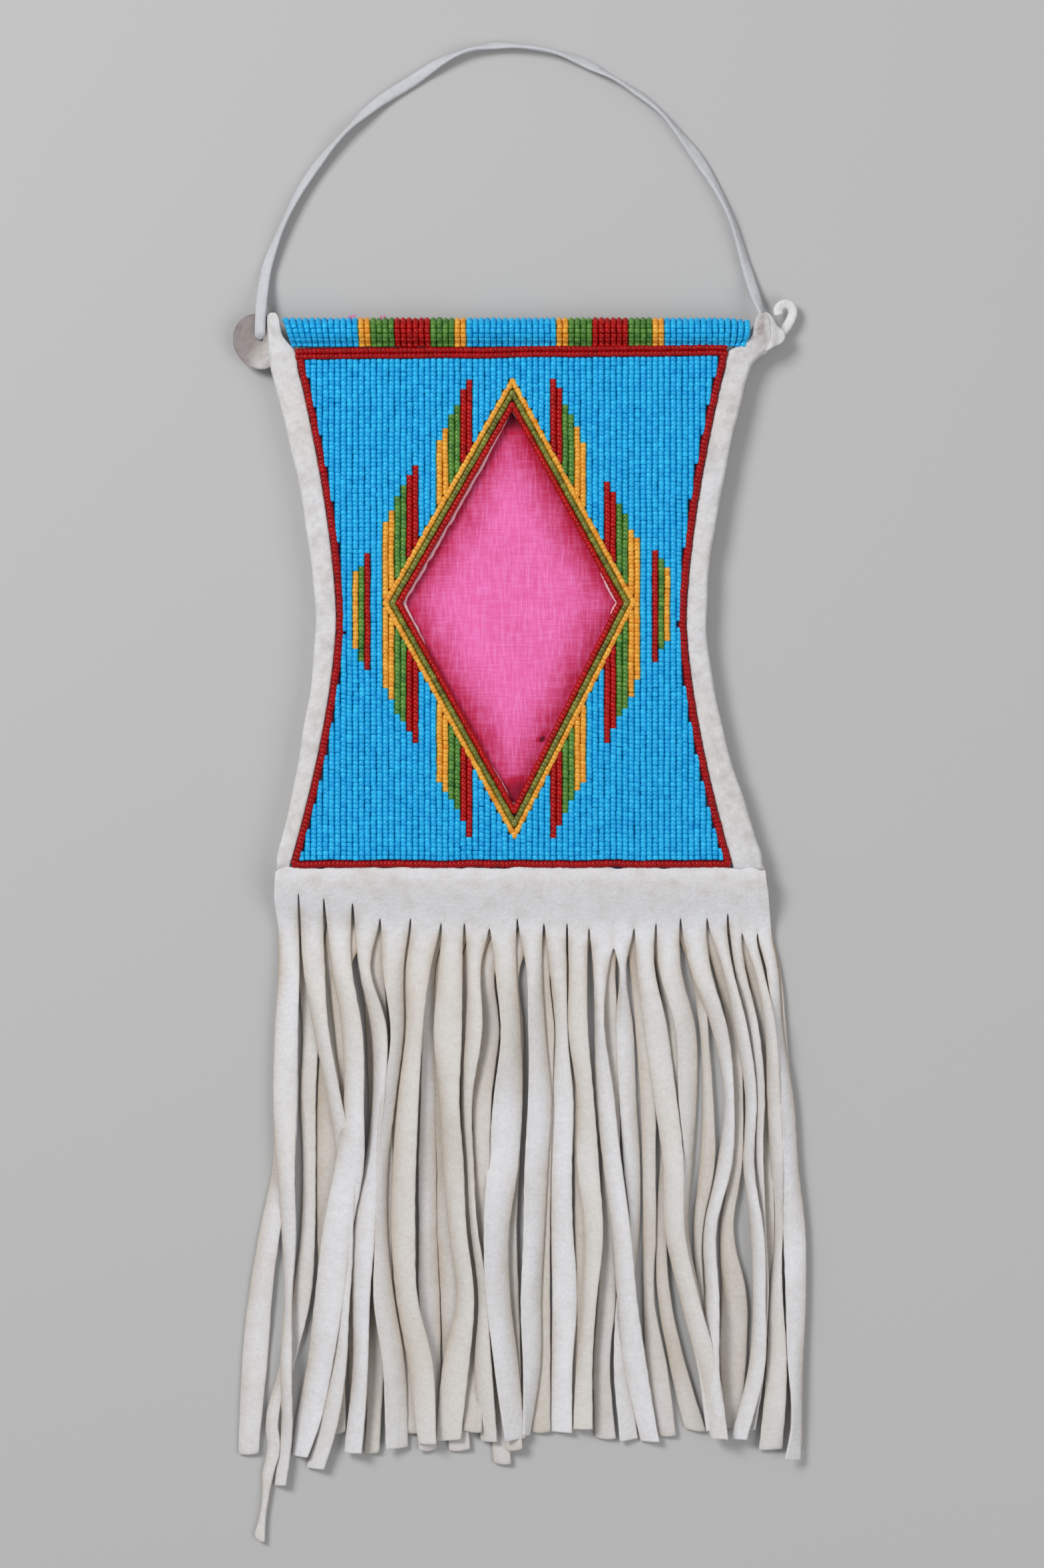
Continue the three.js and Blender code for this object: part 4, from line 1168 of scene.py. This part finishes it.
def is_slit(j):
    """Whether cut j lies between two front strands; the first and the last are the band's outer edges."""
    return 0 < j < len(FRONT_STRANDS)


def band_edge(j, y):
    """Edge of the fringe band, or of a cut above its root."""
    if is_slit(j):
        return SLIT_ROOTS[j - 1][0]
    return float(smooth_run(EDGE_LEVELS, LEFT_EDGE if j == 0 else RIGHT_EDGE, y))


def band_level(y):
    """Top of the fringe band: on the bag, then down over its bottom edge."""
    return 2.9 + 7.5 * ramp(y, -124, -101)


def strand_stations(middles, widths, tip, hand, extra=()):
    """Levels and places of one edge of a strand; a drawn level close to the tip is left out."""
    stations = [station for station in zip(STRAND_LEVELS, middles, widths) if station[0] > tip + 9]
    stations += list(extra) + [(tip, middles[-1], widths[-1])]
    return [level for level, m, w in stations], [m + hand * w for level, m, w in stations]


def strand_edges(i, y):
    """Left and right edge of a front strand at one level, each leaving the band at its own slit."""
    middles, widths, tip = FRONT_STRANDS[i][:3]
    edges = []
    for hand, j in ((-0.5, i), (0.5, i + 1)):
        root_x, root_y = SLIT_ROOTS[j - 1] if is_slit(j) else (band_edge(j, OUTER_ROOT), OUTER_ROOT)
        if y >= root_y:
            edges.append(band_edge(j, y))
            continue
        levels, runs = strand_stations(middles, widths, tip, hand)
        spread = -hand * 0.5 if is_slit(j) else 0.0
        edges.append(float(smooth_run([root_y + 6, root_y] + levels, [root_x, root_x + spread] + runs, y)))
    return edges


def even_out(values, count):
    """A running mean over an odd count of values."""
    return np.convolve(np.pad(values, count // 2, mode="edge"), np.ones(count) / count, "valid")


def lay_strand(rows, left, right, stands, least, tallest):
    """Heights of a strand's two edges down its length, rested on what already lies below it: least is
    its least true width, and tallest how high an edge may stand."""
    under = []
    for y, a, b in zip(rows, left, right):
        under.append(max(pile[pile_cell(a + (b - a) * share, y)] for share in (0.25, 0.4, 0.5, 0.6, 0.75)))
    wide = np.array([max(under[max(0, k - 3):k + 4]) for k in range(len(rows))])
    eased = even_out(wide, 9)
    true_width = max(least, float(np.max(right - left)))
    seen = np.clip((right - left) / true_width, 0, 1)
    rise = np.minimum(np.sqrt(1 - seen**2) * true_width * 0.5, tallest) * ramp(-rows, 118, 150)
    rise = even_out(rise, 5)
    low = np.minimum(eased, 3.2 + 0.35 * (eased - 3.2).clip(0)) + STRAND_LIFT
    return np.stack([low, low + rise] if stands > 0 else [low + rise, low], 1)


def settle(rows, left, right, heights):
    """Adds a strand to the pile where it has come to lie."""
    for y, a, b, (low, high) in zip(rows, left, right, heights):
        count = int(max(2, (b - a) * 2))
        for share in 0.12 + 0.76 * np.arange(count + 1) / count:
            for dy in (-0.5, 0.5):
                cell = pile_cell(a + (b - a) * share, y + dy)
                pile[cell] = max(pile[cell], low + (high - low) * share)


def add_strand(bm, layers, columns, rows, left, right, heights, cup, casts, dirt_and_shade_levels, roots, round_tip):
    """One strand as a strip of the fringe's mesh."""
    cast, dirt_and_shade = layers
    last_column = len(columns) - 1
    last_row = len(rows) - 1
    tip_turn = 0.9 * wander(left[-1] / 3, 7)
    made = bmesh.ops.create_grid(bm, x_segments=last_column, y_segments=last_row, size=0.5)
    for vert in made["verts"]:
        u = columns[round((vert.co.x + 0.5) * last_column)]
        k = last_row - round((vert.co.y + 0.5) * last_row)
        y = rows[k]
        across = 2 * u - 1
        rise = heights[k, 1] - heights[k, 0]
        ending = ramp(rows[-1] + 30 - y, 0, 26)
        ragged = 0.24 * wander(1.7 * y, left[-1], u > 0.5) * ramp(-y, 122, 134)
        x = left[k] + (right[k] - left[k]) * u + ragged * across**2
        z = heights[k, 0] + rise * u + cup[k] * (1 - 0.7 * ending) * (1 - across**2)
        if k == 0:
            y += 0.6 * wander(x / 4) + 0.4 * wander(x / 15) - 1.3 * ramp(abs(x - 3.2), 88, 91.2)
        if k == last_row:
            y += round_tip * across**2 + tip_turn * across
        vert.co = place(x, y, z)
        vert[cast] = casts[k]
        # Painted shade on the flank that turns away where a strand stands up, and along both cut edges
        flank = 0.16 * min(3.0, abs(rise)) * (u if rise < 0 else 1 - u) ** 2 + 0.26 * abs(across) ** 3
        # Darker patches on the band, and painted shade on the flanks below each slit's root
        patches_and_slit_shade = 0.16 * max(0.0, wander(x / 7, y / 2.5)) * (1 - ramp(-y, 116, 130))
        for root, edge in ((roots[0], 1 - u), (roots[1], u)):
            patches_and_slit_shade += 0.5 * ramp(root - y, 1, 6) * (1 - ramp(root - y, 8, 34)) * edge**4
        vert[dirt_and_shade] = dirt_and_shade_levels[k] + patches_and_slit_shade + flank * ramp(-y, 112, 128) * (1 - 0.6 * ending)


def finish_fringe(name, bm, node):
    bmesh.ops.remove_doubles(bm, verts=bm.verts, dist=2e-5)
    thicken(add_piece(name, bm, WHITE_HIDE, [node]), thickness=1.1, rounds=1)


def make_back_fringe():
    bm = bmesh.new()
    layers = shade_layers(bm)
    cuts = np.linspace(*BACK_BAND, len(BACK_STRANDS) + 1)
    for i, (middles, widths, tip, stands, top_cast, tip_cast) in enumerate(BACK_STRANDS):
        extra = THIN_END if i == THIN_STRAND else ()
        step = 2.2 if extra else 3.8
        rows = np.concatenate([np.arange(-103.3, -120, -3.2), np.arange(-122.0, tip + 1.5, -step), [tip]])
        edges = []
        for hand, cut in ((-0.5, cuts[i]), (0.5, cuts[i + 1])):
            levels, runs = strand_stations(middles, widths, tip, hand, extra)
            edge = smooth_run([-100, -116.0] + levels, [cut, cut - 0.4 * hand] + runs, rows)
            edges.append(np.where(rows > -117, cut, edge))
        left, right = edges
        heights = lay_strand(rows, left, right, stands, least=9.0, tallest=1.6)
        loose = ramp(-rows, 112, 132)[:, None]
        heights = STRAND_LIFT * (1 - loose) + heights * loose
        settle(rows, left, right, heights)
        cup = 0.35 * wander(rows / 30, i) * ramp(-rows, 118, 140)
        casts = top_cast + (tip_cast - top_cast) * ramp(-rows, 150, 260)
        # Painted shade: the back strands lie under the front ones, the first two less so
        dirt_and_shade_levels = (0.25 if i > 1 else 0.1) + 0.1 * wander(rows / 25, i, 3)
        add_strand(bm, layers, BACK_COLUMNS, rows, left, right, heights, cup, casts, dirt_and_shade_levels,
                   (UNSEEN_ROOT, UNSEEN_ROOT), round_tip=0.8)
    finish_fringe("back_fringe", bm, "fringe_back")


def make_front_fringe():
    bm = bmesh.new()
    layers = shade_layers(bm)
    band = np.arange(-97.6, -129.9, -1.9)
    for i in [i for i in range(len(FRONT_STRANDS)) if i not in LAID_LAST] + LAID_LAST:
        tip, stands, top_cast, tip_cast = FRONT_STRANDS[i][2:]
        rows = np.concatenate([band, np.arange(band[-1] - 3.0, tip + 1.5, -3.0), [tip + 0.5, tip]])
        left, right = np.array([strand_edges(i, y) for y in rows]).T
        roots = [SLIT_ROOTS[j - 1][1] if is_slit(j) else UNSEEN_ROOT for j in (i, i + 1)]
        heights = lay_strand(rows, left, right, stands, least=8.0, tallest=3.6)
        for hand, root in enumerate(roots):
            loose = ramp(-rows, -root, -root + 34)
            heights[:, hand] = band_level(rows) * (1 - loose) + heights[:, hand] * loose
        settle(rows, left, right, heights)
        cup = (0.5 + 0.7 * wander(rows / 26, 1.7 * i, 1)) * ramp(-rows, 112, 140)
        casts = top_cast + (tip_cast - top_cast) * ramp(-rows, 150, 190)
        casts = 1.0 + (casts - 1.0) * ramp(-rows, 112, 145)
        # Painted shade along the crease where the band bends over the bag's bottom edge; darker patches
        # down each strand, and a darker top of the band
        crease = np.exp(-((rows + 103.5) / 2.2) ** 2)
        dirt_and_shade_levels = 0.12 * crease + 0.1 * np.maximum(0, wander(rows / 30, i, 4))
        dirt_and_shade_levels += 0.1 * (1 - ramp(-rows, 104, 118))
        add_strand(bm, layers, FRONT_COLUMNS, rows, left, right, heights, cup, casts, dirt_and_shade_levels, roots,
                   round_tip=0.15)
    finish_fringe("front_fringe", bm, "fringe_front")


make_back_fringe()
make_front_fringe()


# Floor and light

# Lamps: place in metres, size and power
LAMPS = {"key_light": ((-1.0, 0.9, 1.5), 0.7, 26), "fill_light": ((1.2, -0.4, 1.4), 1.2, 10)}


def make_floor():
    bm = bmesh.new()
    bmesh.ops.create_grid(bm, x_segments=1, y_segments=1, size=9.0)
    floor = add_object("floor", mesh_from("floor", bm))
    floor.location.z = -0.0002
    material = bpy.data.materials.new("pale_floor")
    material.use_nodes = True
    shader = material.node_tree.nodes["Principled BSDF"]
    shader.inputs["Base Color"].default_value = linear(184, 184, 184)
    shader.inputs["Roughness"].default_value = 0.9
    floor.data.materials.append(material)


def set_light():
    for name, (spot, size, power) in LAMPS.items():
        lamp = add_object(name, bpy.data.lights.new(name, "AREA"))
        lamp.data.size = size
        lamp.data.energy = power
        lamp.location = spot
        lamp.rotation_euler = (-Vector(spot)).to_track_quat("-Z", "Y").to_euler()
    world = bpy.data.worlds.new("studio")
    world.use_nodes = True
    sky = world.node_tree.nodes["Background"]
    sky.inputs["Color"].default_value = (1, 1, 1, 1)
    sky.inputs["Strength"].default_value = 0.35
    bpy.context.scene.world = world


make_floor()
set_light()
bpy.context.scene.view_settings.view_transform = "Standard"
